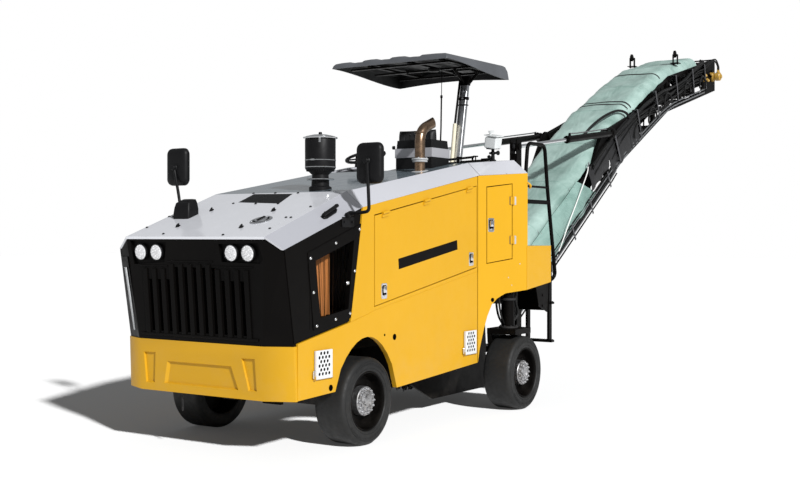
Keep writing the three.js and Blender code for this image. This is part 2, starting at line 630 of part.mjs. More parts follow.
function rearHood() {
  const split = [-1820, BEVEL_Y];
  const front = slab([
    [RIDGE_X - SEAM, -BEVEL_Y, RIDGE_Z], [RIDGE_X - SEAM, BEVEL_Y, RIDGE_Z],
      [-1820, BEVEL_Y, crestZ(-1820)],
    [-1820, -BEVEL_Y, crestZ(-1820)]], [0, 0, -HOOD_T]);
  const rear = slab([
    [-1820, -BEVEL_Y, crestZ(-1820)], [-1820, BEVEL_Y, crestZ(-1820)], [FLARE_X, 860, crestZ(FLARE_X)],
    [FLARE_X, -860, crestZ(FLARE_X)]], [0, 0, -HOOD_T]);
  const side = union(
    bevel(6 - SEAM, -1756, SIDE_Y, 806, [RIDGE_X - SEAM, BEVEL_Y], split),
    bevel(-1756, FLARE_X, 806, FLARE_Y, split, [FLARE_X, 860]));
  const cockpit = box(FLARE_X - 50, COCKPIT_X1, COCKPIT_Y0, COCKPIT_Y1, 1900, 2400);
  return cut(union(front, rear, side, mirrored(side)), cockpit);
}
add('rear_hood', rearHood(), GREY_BLUE);

// What stands on the hood is cut off along the hood's surface.
function onHood(body) {
  const line = [...CREST.map(([x, z]) => [x, z + GAP]), [-3000, 2300], [-3000, 1000], [2000, 1000],
    [2000, 1550]];
  return body.subtract(prismY(line, -1200, 1200));
}

// ---------------------------------------------------------------- operator's platform
const TUB_T = 25;
const FLOOR_X0 = -2420;
function platform() {
  const floor = [
    box(FLARE_X - 5, COCKPIT_X1 + TUB_T, COCKPIT_Y0 - TUB_T, CORNER_IN - 5, FLOOR_Z - FLOOR_T, FLOOR_Z),
    box(FLOOR_X0, FLARE_X, 5 - CORNER_IN, CORNER_IN - 5, FLOOR_Z - FLOOR_T, FLOOR_Z)];
  const roof = (x) => crestZ(x) - HOOD_T - GAP;
  const wall = [
    [FLARE_X + 2, FLOOR_Z - 10], [COCKPIT_X1, FLOOR_Z - 10], [COCKPIT_X1, roof(COCKPIT_X1)],
      [-1820, roof(-1820)],
    [FLARE_X + 2, roof(FLARE_X + 2)]];
  const walls = [
    prismY(wall, COCKPIT_Y1, COCKPIT_Y1 + TUB_T), prismY(wall, COCKPIT_Y0 - TUB_T, COCKPIT_Y0)];
  const front = box(COCKPIT_X1, COCKPIT_X1 + TUB_T, COCKPIT_Y0 - TUB_T, COCKPIT_Y1 + TUB_T, FLOOR_Z - 10,
    roof(COCKPIT_X1 + TUB_T));
  const shut = roof(FLARE_X + 2) - 4;
  const bulkheads = [
    box(FLARE_X + 2, FLARE_X + 24, COCKPIT_Y1, 845, FLOOR_Z - 10, shut),
    box(FLARE_X + 2, FLARE_X + 24, -845, COCKPIT_Y0, FLOOR_Z - 10, shut)];
  const feet = [-1, 1].map((side) => box(
    -2300, -2100, side * 300 - 60, side * 300 + 60, PORTAL_Z1 + GAP, FLOOR_Z - FLOOR_T + 5));
  return union(floor, walls, front, bulkheads, feet);
}
add('platform', platform(), DARK_GREY);

const SEAT_Y = -270;
function seatBase() {
  return union(
    box(-2400, -2080, SEAT_Y - 130, SEAT_Y + 130, FLOOR_Z + GAP, FLOOR_Z + 330),
    box(-2430, -2010, SEAT_Y - 190, SEAT_Y + 190, FLOOR_Z + 330, FLOOR_Z + 370));
}
add('seat_base', seatBase(), BLACK);
add('seat_cushion', prismY([
  [-2400, 1850], [-2000, 1850], [-1960, 1890], [-1975, 1950], [-2100, 1955], [-2400, 1930]].map(
  ([x, z]) => [x, z - 1850 + FLOOR_Z + 370 + GAP]), SEAT_Y - 215, SEAT_Y + 215), VINYL);
add('seat_back', prismX([
  [-215, FLOOR_Z + 370 + GAP], [215, FLOOR_Z + 370 + GAP], [215, 2300], [150, 2420], [150, 2560],
    [110, 2595],
  [-110, 2595], [-150, 2560], [-150, 2420], [-215, 2300]].map(([y, z]) => [SEAT_Y + y, z]), -2500,
    -2401), VINYL);

function console() {
  return onHood(
    box(-1760, -1460, 120, 500, 2100, 2400));
}
add('console', console(), DARK_GREY);

const WHEEL_RIM = 190;
const STEER_AT = [-1560, SEAT_Y, 2270];
const STEER_TILT = 20 * Math.PI / 180;
function steeringWheel() {
  const ring = new THREE.TorusGeometry(WHEEL_RIM - 14, 14, 6, 20);
  const wheelRim = solid(ring);
  const spokes = [0, 1, 2].map((i) => {
    const a = i * 2 * Math.PI / 3 + Math.PI / 2;
    return rod([0, 0, -8], [Math.cos(a) * (WHEEL_RIM - 14), Math.sin(a) * (WHEEL_RIM - 14), 0], 9, 6);
  });
  const boss = rod([0, 0, -40], [0, 0, 12], 42, 16);
  const tilt = new THREE.Matrix4().makeRotationY(STEER_TILT).setPosition(...STEER_AT);
  return placed(geometryOf(union(wheelRim, spokes, boss)), tilt);
}
add('steering_wheel', steeringWheel(), BLACK);
function steeringColumn() {
  const down = new THREE.Vector3(-Math.sin(STEER_TILT), 0, -Math.cos(STEER_TILT)).negate();
  const top = new THREE.Vector3(...STEER_AT).addScaledVector(down, -40 - RUN);
  const foot = new THREE.Vector3(...STEER_AT).addScaledVector(down, -420);
  const stem = rod(top.toArray(), foot.toArray(), 30, 16);
  const pod = box(COCKPIT_X1 - 210, COCKPIT_X1 - GAP, SEAT_Y - 120, SEAT_Y + 120, FLOOR_Z + GAP, 1900);
  const bracket = box(foot.x - 60, COCKPIT_X1 - 100, SEAT_Y - 50, SEAT_Y + 50, 1840, foot.z + 40);
  return union(stem, pod, bracket);
}
add('steering_column', steeringColumn(), BLACK);

// ---------------------------------------------------------------- canopy
const CANOPY = { x0: -2870, x1: -1700, y0: -750, y1: 510, top: 3175 };
const CANOPY_T = 22;
const FRONT_FLAP = 65;
const REAR_FLAP = 120;
function canopyBlock(inset, frontFoot, rearFoot) {
  const { x0, x1, y0, y1, top } = CANOPY;
  const ring = (front, rear, side, frontZ, rearZ) => [
    [x1 - front, y0 + side, frontZ], [x1 - front, y1 - side, frontZ],
    [x0 + rear, y0 + side, rearZ], [x0 + rear, y1 - side, rearZ]];
  return hull([
    ...ring(inset, inset, inset, frontFoot, rearFoot),
    ...ring(40 + inset, 40 + inset, 40 + inset, top - inset, top + 25 - inset)]);
}
function canopy() {
  const { top } = CANOPY;
  return cut(canopyBlock(0, top - FRONT_FLAP, top - REAR_FLAP),
    canopyBlock(CANOPY_T, top - 300, top - 300));
}
add('canopy', canopy(), DARK_GREY);
// Underside of the canopy's roof.
function ceilingZ(x) {
  const { x0, x1, top } = CANOPY;
  const inset = 40 + CANOPY_T;
  return top - CANOPY_T + 25 * (x1 - inset - x) / (x1 - x0 - 2 * inset);
}
// The mast stands upright to its knee and leans back above it.
const MAST_X = -2365;
const MAST_Y = 230;
const MAST_KNEE_Z = 2270;
const MAST_HEAD_X = -2530;
function canopyMast() {
  const head = ceilingZ(MAST_HEAD_X + 60) - GAP;
  const section = (x, z) => [[x - 25, MAST_Y - 40, z], [x + 25, MAST_Y - 40, z], [x + 25, MAST_Y + 40, z],
    [x - 25, MAST_Y + 40, z]];
  return union(
    box(MAST_X - 45, MAST_X + 45, MAST_Y - 60, MAST_Y + 60, FLOOR_Z + GAP, FLOOR_Z + 14),
    hull([...section(MAST_X, FLOOR_Z + 10), ...section(MAST_X, MAST_KNEE_Z)]),
    hull([...section(MAST_X, MAST_KNEE_Z - 1), ...section(MAST_HEAD_X, head - 40)]),
    box(CANOPY.x0 + 80, CANOPY.x1 - 280, MAST_Y - 25, MAST_Y + 25, head - 60, head - 14),
    box(MAST_HEAD_X - 30, MAST_HEAD_X + 30, CANOPY.y0 + 140, CANOPY.y1 - 140, head - 58, head - 20),
    box(MAST_HEAD_X - 60, MAST_HEAD_X + 60, MAST_Y - 60, MAST_Y + 60, head - 50, head));
}
add('canopy_mast', canopyMast(), STEEL);

// ---------------------------------------------------------------- pieces on the hood
const CLEANER_X = -130;
const CLEANER_Y = 300;
function airPrecleaner() {
  const z = crestZ(CLEANER_X);
  return onHood(turnedUp([
    [0, z - 40], [78, z - 40], [78, z + 70], [62, z + 75], [62, z + 110], [120, z + 150], [120, z + 395],
    [134, z + 395], [134, z + 408], [60, z + 428], [0, z + 432]], CLEANER_X, CLEANER_Y, 20));
}
add('air_precleaner', airPrecleaner(), BLACK);

const EXHAUST_X = -1250;
const EXHAUST_Y = 510;
function exhaustPipe() {
  const z = crestZ(EXHAUST_X) - 20;
  const bend = pipe([
    [EXHAUST_X, EXHAUST_Y, z], [EXHAUST_X, EXHAUST_Y, z + 400],
      [EXHAUST_X - 190, EXHAUST_Y, z + 480]], 44, 110, 12);
  const flange = rod([EXHAUST_X, EXHAUST_Y, z + 110], [EXHAUST_X, EXHAUST_Y, z + 126], 68, 20);
  return onHood(union(bend, flange));
}
add('exhaust_pipe', exhaustPipe(), BROWN);

function mirrorLeft() {
  const base = eaveZ(180) + 10;
  return union(
    pipe([[180, 812, base], [180, 1000, base + 30], [180, 1000, base + 230]], 9),
    box(120, 240, SIDE_Y - 8 + GAP, 826, base - 80, eaveZ(240) - 6),
    box(150, 210, 804, 826, base - 80, base + 12),
    prismX([[930, base + 225], [1070, base + 225], [1098, base + 255], [1098, base + 490],
      [1070, base + 520],
      [930, base + 520], [902, base + 490], [902, base + 255]], 160, 215));
}
add('mirror_left', mirrorLeft(), BLACK);
function mirrorRight() {
  const x = 430;
  const base = crestZ(x);
  return onHood(union(
    box(x - 60, x + 60, -700, -620, base - 30, base + 60),
    pipe([[x, -660, base + 50], [x, -690, base + 200], [x, -700, base + 260]], 9, 40),
    prismX([[-790, base + 225], [-650, base + 225], [-622, base + 255], [-622, base + 490],
      [-650, base + 520],
      [-790, base + 520], [-818, base + 490], [-818, base + 255]], x - 20, x + 35)));
}
add('mirror_right', mirrorRight(), BLACK);

const BOX_X = -2150;
function controlBox() {
  const z = crestZ(BOX_X) + GAP;
  return onHood(union(
    box(BOX_X - 35, BOX_X + 35, 690, 760, z - 30, z + 110),
    box(BOX_X - 60, BOX_X + 60, 670, 790, z + 100, z + 225)));
}
add('control_box', controlBox(), LIGHT_GREY);

// ---------------------------------------------------------------- inside the hood
add('engine_block', union(
  box(-1000, 200, -230, 230, RAIL_Z1 + GAP, 1500),
  box(-1000, 200, -RAIL_Y1, RAIL_Y1, RAIL_Z1 + GAP, 960)), CAST);
add('radiator', union(
  box(420, 560, -560, 560, RAIL_Z1 + GAP, 1420),
  rod([360, 0, 1150], [420, 0, 1150], 260, 16)), BROWN);

// ---------------------------------------------------------------- ladders, handrails and folding steps
function ladder() {
  const y = 950;
  const back = TAIL_X - GAP;
  const rail = pipe([
    [FLARE_X - 44 - GAP, y, 2010], [-2400, y, 2400], [-2750, y, 2400], [-2810, y, 2000],
      [-2950, y + 15, 1180],
    [-2900, y, 1130], [back - 9, y, 1150]], 18, 70);
  const rung = rod([FLARE_X - 44, y, 2005], [-2808, y, 2005], 11, 8);
  const bar = box(-2840, FLARE_X - 27, y - 14, y + 14, 1846, 1884);
  const strut = rod([FLARE_X - 41, y, 1850], [FLARE_X - 41, y, 2020], 14, 8);
  const hanger = (yy) => box(back - 60, back, yy - 12, yy + 12, 560, 1300);
  const treads = [560, 920].map((z) => box(back - 75, back - 10, 735, 1000, z - 14, z + 14));
  return union(rail, rung, bar, strut, hanger(745), hanger(970), treads);
}
addPair('ladder', ladder(), BLACK);

const STEP_HALF = 95;
function foldingStep(x, z) {
  return union(
    box(x - STEP_HALF, x + STEP_HALF, SIDE_Y + 6, SIDE_Y + 22, z, z + 190),
    hingeBarrel([x - STEP_HALF, SIDE_Y, z - 4], [x + STEP_HALF, SIDE_Y, z - 4], [0, 1, 0]));
}
add('folding_step_front', foldingStep(510, 560), STEEL);
add('folding_step_rear', foldingStep(-1583, 546), STEEL);

// ---------------------------------------------------------------- slew yoke
const YOKE_Z0 = TONGUE_Z1 + RUN;
const YOKE_POST_X0 = -3160;
const YOKE_POST_X1 = -3060;
const YOKE_IN = 420;
const YOKE_OUT = 500;
const EYE_Q = [-3110, 2430];        // the rods' eyes
const EYE_R = 45;
function slewYoke() {
  const posts = [-1, 1].map((side) => box(
    YOKE_POST_X0, YOKE_POST_X1, side > 0 ? YOKE_IN : -YOKE_OUT, side > 0 ? YOKE_OUT : -YOKE_IN,
      YOKE_Z0, EYE_Q[1] + 70));
  const base = prismZ([
    [YOKE_POST_X0, -YOKE_OUT], [YOKE_POST_X1, -YOKE_OUT], [SLEW_X + 70, -120], [SLEW_X + 70, 120],
    [YOKE_POST_X1, YOKE_OUT], [YOKE_POST_X0, YOKE_OUT]], YOKE_Z0, YOKE_Z0 + 60);
  const lowPin = rod([SLEW_X, 0, TONGUE_Z0 + 5], [SLEW_X, 0, YOKE_Z0 + 30], SLEW_PIN_R, 24);
  const highPin = rod([SLEW_X, 0, ARM_Z0 + 5], [SLEW_X, 0, ARM_Z1 + 60], SLEW_PIN_R, 24);
  const beam = prismZ([
    [YOKE_POST_X0 + 20, -YOKE_OUT + 10], [YOKE_POST_X1, -YOKE_OUT + 10], [SLEW_X + 80, -120],
      [SLEW_X + 80, 120],
    [YOKE_POST_X1, YOKE_OUT - 10], [YOKE_POST_X0 + 20, YOKE_OUT - 10]], ARM_Z1 + RUN, ARM_Z1 + 90);
  const cheeks = [-1, 1].map((side) => box(
    LUFF_X - 70, YOKE_POST_X1, side > 0 ? BOOM_HALF_W + 12 : -YOKE_IN - 10,
      side > 0 ? YOKE_IN + 10 : -BOOM_HALF_W - 12,
    LUFF_Z - 80, LUFF_Z + 80));
  const bores = bore([LUFF_X, -YOKE_OUT - 50, LUFF_Z], [LUFF_X, YOKE_OUT + 50, LUFF_Z], PIN_R);
  const forks = [-1, 1].map((side) => box(
    EYE_Q[0] - 60, EYE_Q[0] + 60, side > 0 ? YOKE_IN + 12 : -YOKE_OUT + 12,
      side > 0 ? YOKE_OUT - 12 : -YOKE_IN - 12,
    EYE_Q[1] - 70, EYE_Q[1] + 80));
  return cut(union(posts, base, lowPin, highPin, beam, cheeks), bores, forks);
}
add('slew_yoke', slewYoke(), BLACK);

// ---------------------------------------------------------------- conveyor
const BOOM_LOW = [[-3070, 562], [-6150, 2470], [-7700, 3200], [-9700, 3690]];
function boomZ(x) {
  return heightOn(BOOM_LOW, x);
}
function strip(x0, x1, low, high) {
  const xs = [x0, ...BOOM_LOW.map(([x]) => x).filter((x) => x < x0 && x > x1), x1];
  return [...xs.map((x) => [x, boomZ(x) + low]), ...xs.reverse().map((x) => [x, boomZ(x) + high])];
}
const CHORD = 60;
const PULLEY_R = 95;
const HEAD = [-9560, boomZ(-9560) + 240];
const TAIL = [-3330, boomZ(-3330) + 240];
const GUSSET_PIN = [-5535, 2745];
function conveyorFrame() {
  const end = BOOM_LOW[3][0];
  const parts = [];
  for (const side of [-1, 1]) {
    const y0 = side > 0 ? BOOM_HALF_W - 40 : -BOOM_HALF_W;
    const y1 = y0 + 40;
    parts.push(prismY(strip(BOOM_LOW[0][0], end, 0, CHORD), y0, y1));
    parts.push(prismY(strip(BOOM_LOW[0][0], end, BOOM_DEPTH - CHORD, BOOM_DEPTH), y0, y1));
    for (let x = -3070; x >= -9200; x -= 510) {
      parts.push(prismY([[x, boomZ(x) + 5], [x - 60, boomZ(x - 60) + 5],
        [x - 60, boomZ(x - 60) + BOOM_DEPTH - 5],
        [x, boomZ(x) + BOOM_DEPTH - 5]], y0, y1));
    }
    parts.push(prismY(strip(-3100, -3460, 5, BOOM_DEPTH - 5), y0, y1));
    parts.push(prismY(strip(-9300, end, 5, BOOM_DEPTH - 5), y0, y1));
    const g0 = side > 0 ? BOOM_HALF_W - 8 : -BOOM_HALF_W - 26;
    parts.push(prismY([
      [-5050, boomZ(-5050) + 420], [-5420, GUSSET_PIN[1] - 10], [-5500, GUSSET_PIN[1] + 50],
        [-5590, GUSSET_PIN[1] + 50],
      [-6200, boomZ(-6200) + 500], [-6260, boomZ(-6260) + 420]], g0, g0 + 34));
    parts.push(rod([GUSSET_PIN[0], side * (BOOM_HALF_W - 30), GUSSET_PIN[1]],
      [GUSSET_PIN[0], side * (YOKE_OUT - 24), GUSSET_PIN[1]], PIN_R, 24));
    parts.push(rod([LUFF_X, side * (BOOM_HALF_W - 20), LUFF_Z],
      [LUFF_X, side * (YOKE_IN + 6), LUFF_Z], PIN_R, 24));
  }
  for (let x = -3600; x >= -9200; x -= 700) {
    parts.push(rod([x, -BOOM_HALF_W + 20, boomZ(x) + 30], [x, BOOM_HALF_W - 20, boomZ(x) + 30], 24, 8));
  }
  for (const [x, z] of [HEAD, TAIL]) {
    parts.push(rod([x, -BOOM_HALF_W + 20, z], [x, BOOM_HALF_W - 20, z], 40, 12));
    parts.push(rod([x, -250, z], [x, 250, z], PULLEY_R, 16));
  }
  return union(parts);
}
add('conveyor_frame', conveyorFrame(), BLACK);

const BELT_HALF_W = 260;
const BELT_T = 12;
const BELT_R = (PULLEY_R + GAP) / Math.cos(Math.PI / 24);
function belt() {
  const loop = (radius) => {
    const points = [];
    const arc = (cx, cz, from, to) => {
      for (let i = 0; i <= 12; i += 1) {
        const a = between(from, to, i / 12);
        points.push([cx + Math.cos(a) * radius, cz + Math.sin(a) * radius]);
      }
    };
    const tailSlope = Math.atan2(1908, -3080);
    const headSlope = Math.atan2(490, -2000);
    arc(TAIL[0], TAIL[1], tailSlope + Math.PI * 1.5, tailSlope + Math.PI / 2);
    for (const x of [-6150, -7700]) points.push([x - radius * 0.25, boomZ(x) + 240 - radius * 1.05]);
    arc(HEAD[0], HEAD[1], headSlope + Math.PI / 2, headSlope - Math.PI / 2);
    for (const x of [-7700, -6150]) points.push([x + radius * 0.25, boomZ(x) + 240 + radius * 1.05]);
    return points;
  };
  return cut(
    prismY(loop(BELT_R + BELT_T), -BELT_HALF_W, BELT_HALF_W),
    prismY(loop(BELT_R), -BELT_HALF_W - 5, BELT_HALF_W + 5));
}
add('conveyor_belt', belt(), RUBBER);

// A body through like-sized closed sections, which run towards -X, each counterclockwise seen from +X.
function loft(sections) {
  const count = sections[0].length;
  const points = sections.flat();
  const faces = [];
  for (let i = 0; i < sections.length - 1; i += 1) {
    for (let k = 0; k < count; k += 1) {
      const a = i * count + k;
      const b = i * count + (k + 1) % count;
      faces.push(a, a + count, b, b, a + count, b + count);
    }
  }
  const flat = sections[0].map(([, y, z]) => new THREE.Vector2(y, z));
  const last = (sections.length - 1) * count;
  for (const [a, b, c] of THREE.ShapeUtils.triangulateShape(flat, [])) {
    faces.push(a, b, c, last + a, last + c, last + b);
  }
  const geometry = new THREE.BufferGeometry();
  geometry.setAttribute('position', new THREE.Float32BufferAttribute(points.flat(), 3));
  geometry.setIndex(faces);
  return solid(geometry);
}

const COVER_T = 8;
function conveyorCover() {
  const xs = [-3300, -4000, -4800, -5500, -6150, -6900, -7700, -8300, -9000];
  const section = (x) => {
    const z = boomZ(x) + BOOM_DEPTH + GAP;
    const h = 120;
    const half = BOOM_HALF_W - 10;
    const outer = [[half, z], [half, z + 14], [210, z + h], [-210, z + h], [-half, z + 14], [-half, z]];
    const inner = [[20 - half, z], [-205, z + h - COVER_T], [205, z + h - COVER_T], [half - 20, z]];
    return [...outer, ...inner].map(([y, up]) => [x, y, up]);
  };
  return loft(xs.map(section));
}
add('conveyor_cover', conveyorCover(), TARP);

function conveyorHead() {
  const [x, z] = HEAD;
  const hoodShell = cut(
    rod([x + 10, -BOOM_HALF_W + 40 + GAP, z], [x + 10, BOOM_HALF_W - 40 - GAP, z], 190, 16),
    rod([x + 10, -BOOM_HALF_W, z], [x + 10, BOOM_HALF_W, z], 176, 16),
    box(x - 400, x + 400, -400, 400, z - 400, z - 20),
    box(x + 60, x + 600, -400, 400, z - 400, z + 400));
  const motor = rod([x, BOOM_HALF_W + GAP, z - 20], [x, BOOM_HALF_W + 150, z - 20], 70, 20);
  return [hoodShell, motor];
}
const [headGuard, beltMotor] = conveyorHead();
add('head_guard', headGuard, BLACK);
add('belt_motor', beltMotor, BROWN);

// ---------------------------------------------------------------- luffing cylinders
const CYLINDER_Y = (YOKE_IN + YOKE_OUT) / 2;
function alongCylinder(distance) {
  const [px, pz] = GUSSET_PIN;
  const [qx, qz] = EYE_Q;
  const length = Math.hypot(qx - px, qz - pz);
  return [px + (qx - px) * distance / length, CYLINDER_Y, pz + (qz - pz) * distance / length];
}
const BARREL_L = 1250;
function barrel() {
  const eye = rod([GUSSET_PIN[0], CYLINDER_Y - 16, GUSSET_PIN[1]],
    [GUSSET_PIN[0], CYLINDER_Y + 16, GUSSET_PIN[1]], 50, 16);
  const tube = rod(alongCylinder(35), alongCylinder(BARREL_L), 48, 16);
  const hollow = rod(alongCylinder(90), alongCylinder(BARREL_L + 20), 24 + RUN, 16);
  const eyeBore = bore([GUSSET_PIN[0], 0, GUSSET_PIN[1]], [GUSSET_PIN[0], 800, GUSSET_PIN[1]], PIN_R);
  return cut(union(eye, tube), hollow, eyeBore);
}
addPair('luff_barrel', barrel(), DARK_GREY);
function luffRod() {
  const length = Math.hypot(GUSSET_PIN[0] - EYE_Q[0], GUSSET_PIN[1] - EYE_Q[1]);
  const stem = rod(alongCylinder(BARREL_L - 700), alongCylinder(length - 30), 24, 16);
  const eye = rod([EYE_Q[0], CYLINDER_Y - 15, EYE_Q[1]], [EYE_Q[0], CYLINDER_Y + 15, EYE_Q[1]], EYE_R, 16);
  const eyeBore = rod([EYE_Q[0], 0, EYE_Q[1]], [EYE_Q[0], 800, EYE_Q[1]], 20, 16);
  return cut(union(stem, eye), eyeBore);
}
addPair('luff_rod', luffRod(), STEEL);

// ---------------------------------------------------------------- origin at the middle of the base
const extent = new THREE.Box3().setFromObject(machine);
const middle = extent.getCenter(new THREE.Vector3());
machine.position.set(-middle.x, -middle.y, -extent.min.z);

export default machine;
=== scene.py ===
# Looks for the cold planer: pieces, materials, floor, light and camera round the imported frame.
# Points are written in metres from the front axle (x), the middle of the body (y) and the ground (z);
# OFFSET moves them into the frame's own axes.
import json
import math
import random

import bmesh
import bpy
from mathutils import Matrix, Vector

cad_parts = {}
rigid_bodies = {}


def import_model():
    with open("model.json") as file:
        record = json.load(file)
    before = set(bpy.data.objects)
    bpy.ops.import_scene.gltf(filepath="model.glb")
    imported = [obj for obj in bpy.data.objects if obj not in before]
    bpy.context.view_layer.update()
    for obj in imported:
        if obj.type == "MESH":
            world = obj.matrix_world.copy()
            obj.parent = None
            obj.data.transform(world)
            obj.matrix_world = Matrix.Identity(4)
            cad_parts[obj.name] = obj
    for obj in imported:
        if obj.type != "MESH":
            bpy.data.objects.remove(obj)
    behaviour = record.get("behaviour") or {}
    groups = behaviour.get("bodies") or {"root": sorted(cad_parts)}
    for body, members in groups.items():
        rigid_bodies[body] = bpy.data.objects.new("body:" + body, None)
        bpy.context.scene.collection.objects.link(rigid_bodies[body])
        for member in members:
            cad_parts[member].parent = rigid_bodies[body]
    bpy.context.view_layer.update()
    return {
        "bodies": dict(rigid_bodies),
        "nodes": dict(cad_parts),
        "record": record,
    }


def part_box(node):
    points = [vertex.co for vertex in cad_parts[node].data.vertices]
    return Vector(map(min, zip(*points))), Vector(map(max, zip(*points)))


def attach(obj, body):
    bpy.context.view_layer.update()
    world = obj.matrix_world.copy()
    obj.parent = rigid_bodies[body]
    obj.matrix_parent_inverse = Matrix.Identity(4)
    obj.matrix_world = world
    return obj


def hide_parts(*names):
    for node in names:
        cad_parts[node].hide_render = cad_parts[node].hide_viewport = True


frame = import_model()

NODES = frame["nodes"]
BODY_OF = {n: b for b, ns in frame["record"]["behaviour"]["bodies"].items() for n in ns}
SLOT_OF = {s["node"]: s["material_slot"] for s in frame["record"]["subparts"]}
FRONT_WHEEL_FACE, REAR_WHEEL_FACE = 0.849, 1.035
REAR_AXLE_X, LEG_Y = -2.2, 0.858
tyre_low, tyre_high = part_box("tyre_front_left")
OFFSET = Vector(((tyre_low.x + tyre_high.x) / 2, tyre_high.y - FRONT_WHEEL_FACE, 0))
random.seed(7)

# ------------------------------------------------------------------ camera
scene = bpy.context.scene
scene.view_settings.view_transform = "Standard"
camera = bpy.data.objects.new("camera", bpy.data.cameras.new("camera"))
scene.collection.objects.link(camera)
scene.camera = camera
camera.location = Vector((6.894, 5.625, 1.569)) + OFFSET
YAW, PITCH = math.radians(213.14), math.radians(-0.31)
LOOK = Vector((math.cos(YAW) * math.cos(PITCH), math.sin(YAW) * math.cos(PITCH), math.sin(PITCH)))
camera.rotation_euler = LOOK.to_track_quat("-Z", "Y").to_euler()
camera.data.sensor_width = 36
camera.data.lens = 50.91
camera.data.clip_end = 200


# ------------------------------------------------------------------ node helpers
class Shader:
    """A material under construction: one Principled shader and what feeds it."""

    def __init__(self, name):
        self.material = bpy.data.materials.new(name)
        self.material.use_nodes = True
        self.tree = self.material.node_tree
        self.bsdf = self.tree.nodes["Principled BSDF"]
        self.place = self.node("ShaderNodeTexCoord").outputs["Object"]

    def node(self, kind, **values):
        made = self.tree.nodes.new(kind)
        for key, value in values.items():
            if key in made.inputs:
                made.inputs[key].default_value = value
            else:
                setattr(made, key, value)
        return made

    def link(self, a, b):
        self.tree.links.new(a, b)

    def set(self, **values):
        for key, value in values.items():
            self.bsdf.inputs[key.replace("_", " ")].default_value = value

    def stretched(self, scale):
        mapping = self.node("ShaderNodeMapping")
        mapping.inputs["Scale"].default_value = scale
        self.link(self.place, mapping.inputs["Vector"])
        return mapping.outputs["Vector"]

    def noise(self, scale, detail=4.0, rough=0.55, vector=None, distortion=0.0):
        made = self.node("ShaderNodeTexNoise")
        made.inputs["Scale"].default_value = scale
        made.inputs["Detail"].default_value = detail
        made.inputs["Roughness"].default_value = rough
        made.inputs["Distortion"].default_value = distortion
        self.link(vector or self.place, made.inputs["Vector"])
        return made.outputs["Fac"]

    def ranged(self, value, low, high, to_low=0.0, to_high=1.0):
        made = self.node("ShaderNodeMapRange")
        self.link(value, made.inputs["Value"])
        for key, number in zip(("From Min", "From Max", "To Min", "To Max"), (low, high, to_low, to_high)):
            made.inputs[key].default_value = number
        return made.outputs["Result"]

    def maths(self, operation, a, b):
        made = self.node("ShaderNodeMath", operation=operation)
        for slot, value in zip(made.inputs, (a, b)):
            if isinstance(value, (int, float)):
                slot.default_value = value
            else:
                self.link(value, slot)
        return made.outputs[0]

    def mix(self, factor, a, b):
        made = self.node("ShaderNodeMix", data_type="RGBA")
        for slot, value in zip((made.inputs[0], made.inputs[6], made.inputs[7]), (factor, a, b)):
            if hasattr(value, "links"):
                self.link(value, slot)
            elif isinstance(value, (int, float)):
                slot.default_value = value
            else:
                slot.default_value = (*value, 1.0)
        return made.outputs[2]

    def axis(self, letter):
        split = self.node("ShaderNodeSeparateXYZ")
        self.link(self.place, split.inputs[0])
        return split.outputs[letter]

    def bump(self, *layers):
        """Each layer is (height, strength, distance)."""
        normal = None
        for height, strength, distance in layers:
            made = self.node("ShaderNodeBump")
            made.inputs["Strength"].default_value = strength
            made.inputs["Distance"].default_value = distance
            self.link(height, made.inputs["Height"])
            if normal is not None:
                self.link(normal, made.inputs["Normal"])
            normal = made.outputs["Normal"]
        self.link(normal, self.bsdf.inputs["Normal"])


def shade(color, factor):
    return tuple(min(1.0, c * factor) for c in color)


def paint(name, color, rough=0.35, specular=0.5, coat=0.0, dust=0.25, vary=0.06):
    """Sprayed enamel: slight patchiness, orange peel, softly wavy sheet and dust low down."""
    s = Shader(name)
    patch = s.noise(1.7, 5)
    base = s.mix(s.ranged(patch, 0.3, 0.7), shade(color, 1 - vary), shade(color, 1 + vary))
    grime = s.noise(6.0, 7, 0.65)
    low = s.ranged(s.axis("Z"), 0.9, 0.1)
    dusty = s.maths("MULTIPLY", s.ranged(grime, 0.45, 0.8), s.maths("MULTIPLY", low, dust))
    s.link(s.mix(dusty, base, (0.33, 0.29, 0.24)), s.bsdf.inputs["Base Color"])
    smear = s.noise(9.0, 6, 0.6)
    s.link(s.ranged(smear, 0.3, 0.75, rough - 0.06, rough + 0.14), s.bsdf.inputs["Roughness"])
    s.set(Metallic=0.0, Specular_IOR_Level=specular, Coat_Weight=coat, Coat_Roughness=0.08)
    s.bump((s.noise(300.0, 2), 0.018, 0.001), (s.noise(1.8, 1), 0.05, 0.01))
    return s.material


def metal(name, color, rough=0.3, brushed=(1, 1, 1), stain=None):
    s = Shader(name)
    grain = s.noise(60.0, 4, 0.6, s.stretched(brushed))
    base = s.mix(s.ranged(grain, 0.3, 0.7), shade(color, 0.86), shade(color, 1.08))
    if stain:
        patches = s.noise(14.0, 5, 0.7)
        base = s.mix(s.ranged(patches, 0.45, 0.72), base, stain)
    s.link(base, s.bsdf.inputs["Base Color"])
    s.link(s.ranged(grain, 0.25, 0.75, rough * 0.7, rough * 1.4), s.bsdf.inputs["Roughness"])
    s.set(Metallic=1.0)
    s.bump((grain, 0.12, 0.0006))
    return s.material


def plastic(name, color, rough=0.5, specular=0.35, grain=900.0, depth=0.12):
    s = Shader(name)
    patch = s.noise(3.0, 5)
    s.link(s.mix(s.ranged(patch, 0.3, 0.7), shade(color, 0.88), shade(color, 1.14)),
           s.bsdf.inputs["Base Color"])
    s.link(s.ranged(s.noise(20.0, 5), 0.3, 0.7, rough - 0.07, rough + 0.1), s.bsdf.inputs["Roughness"])
    s.set(Specular_IOR_Level=specular)
    s.bump((s.noise(grain, 2), depth, 0.0008))
    return s.material


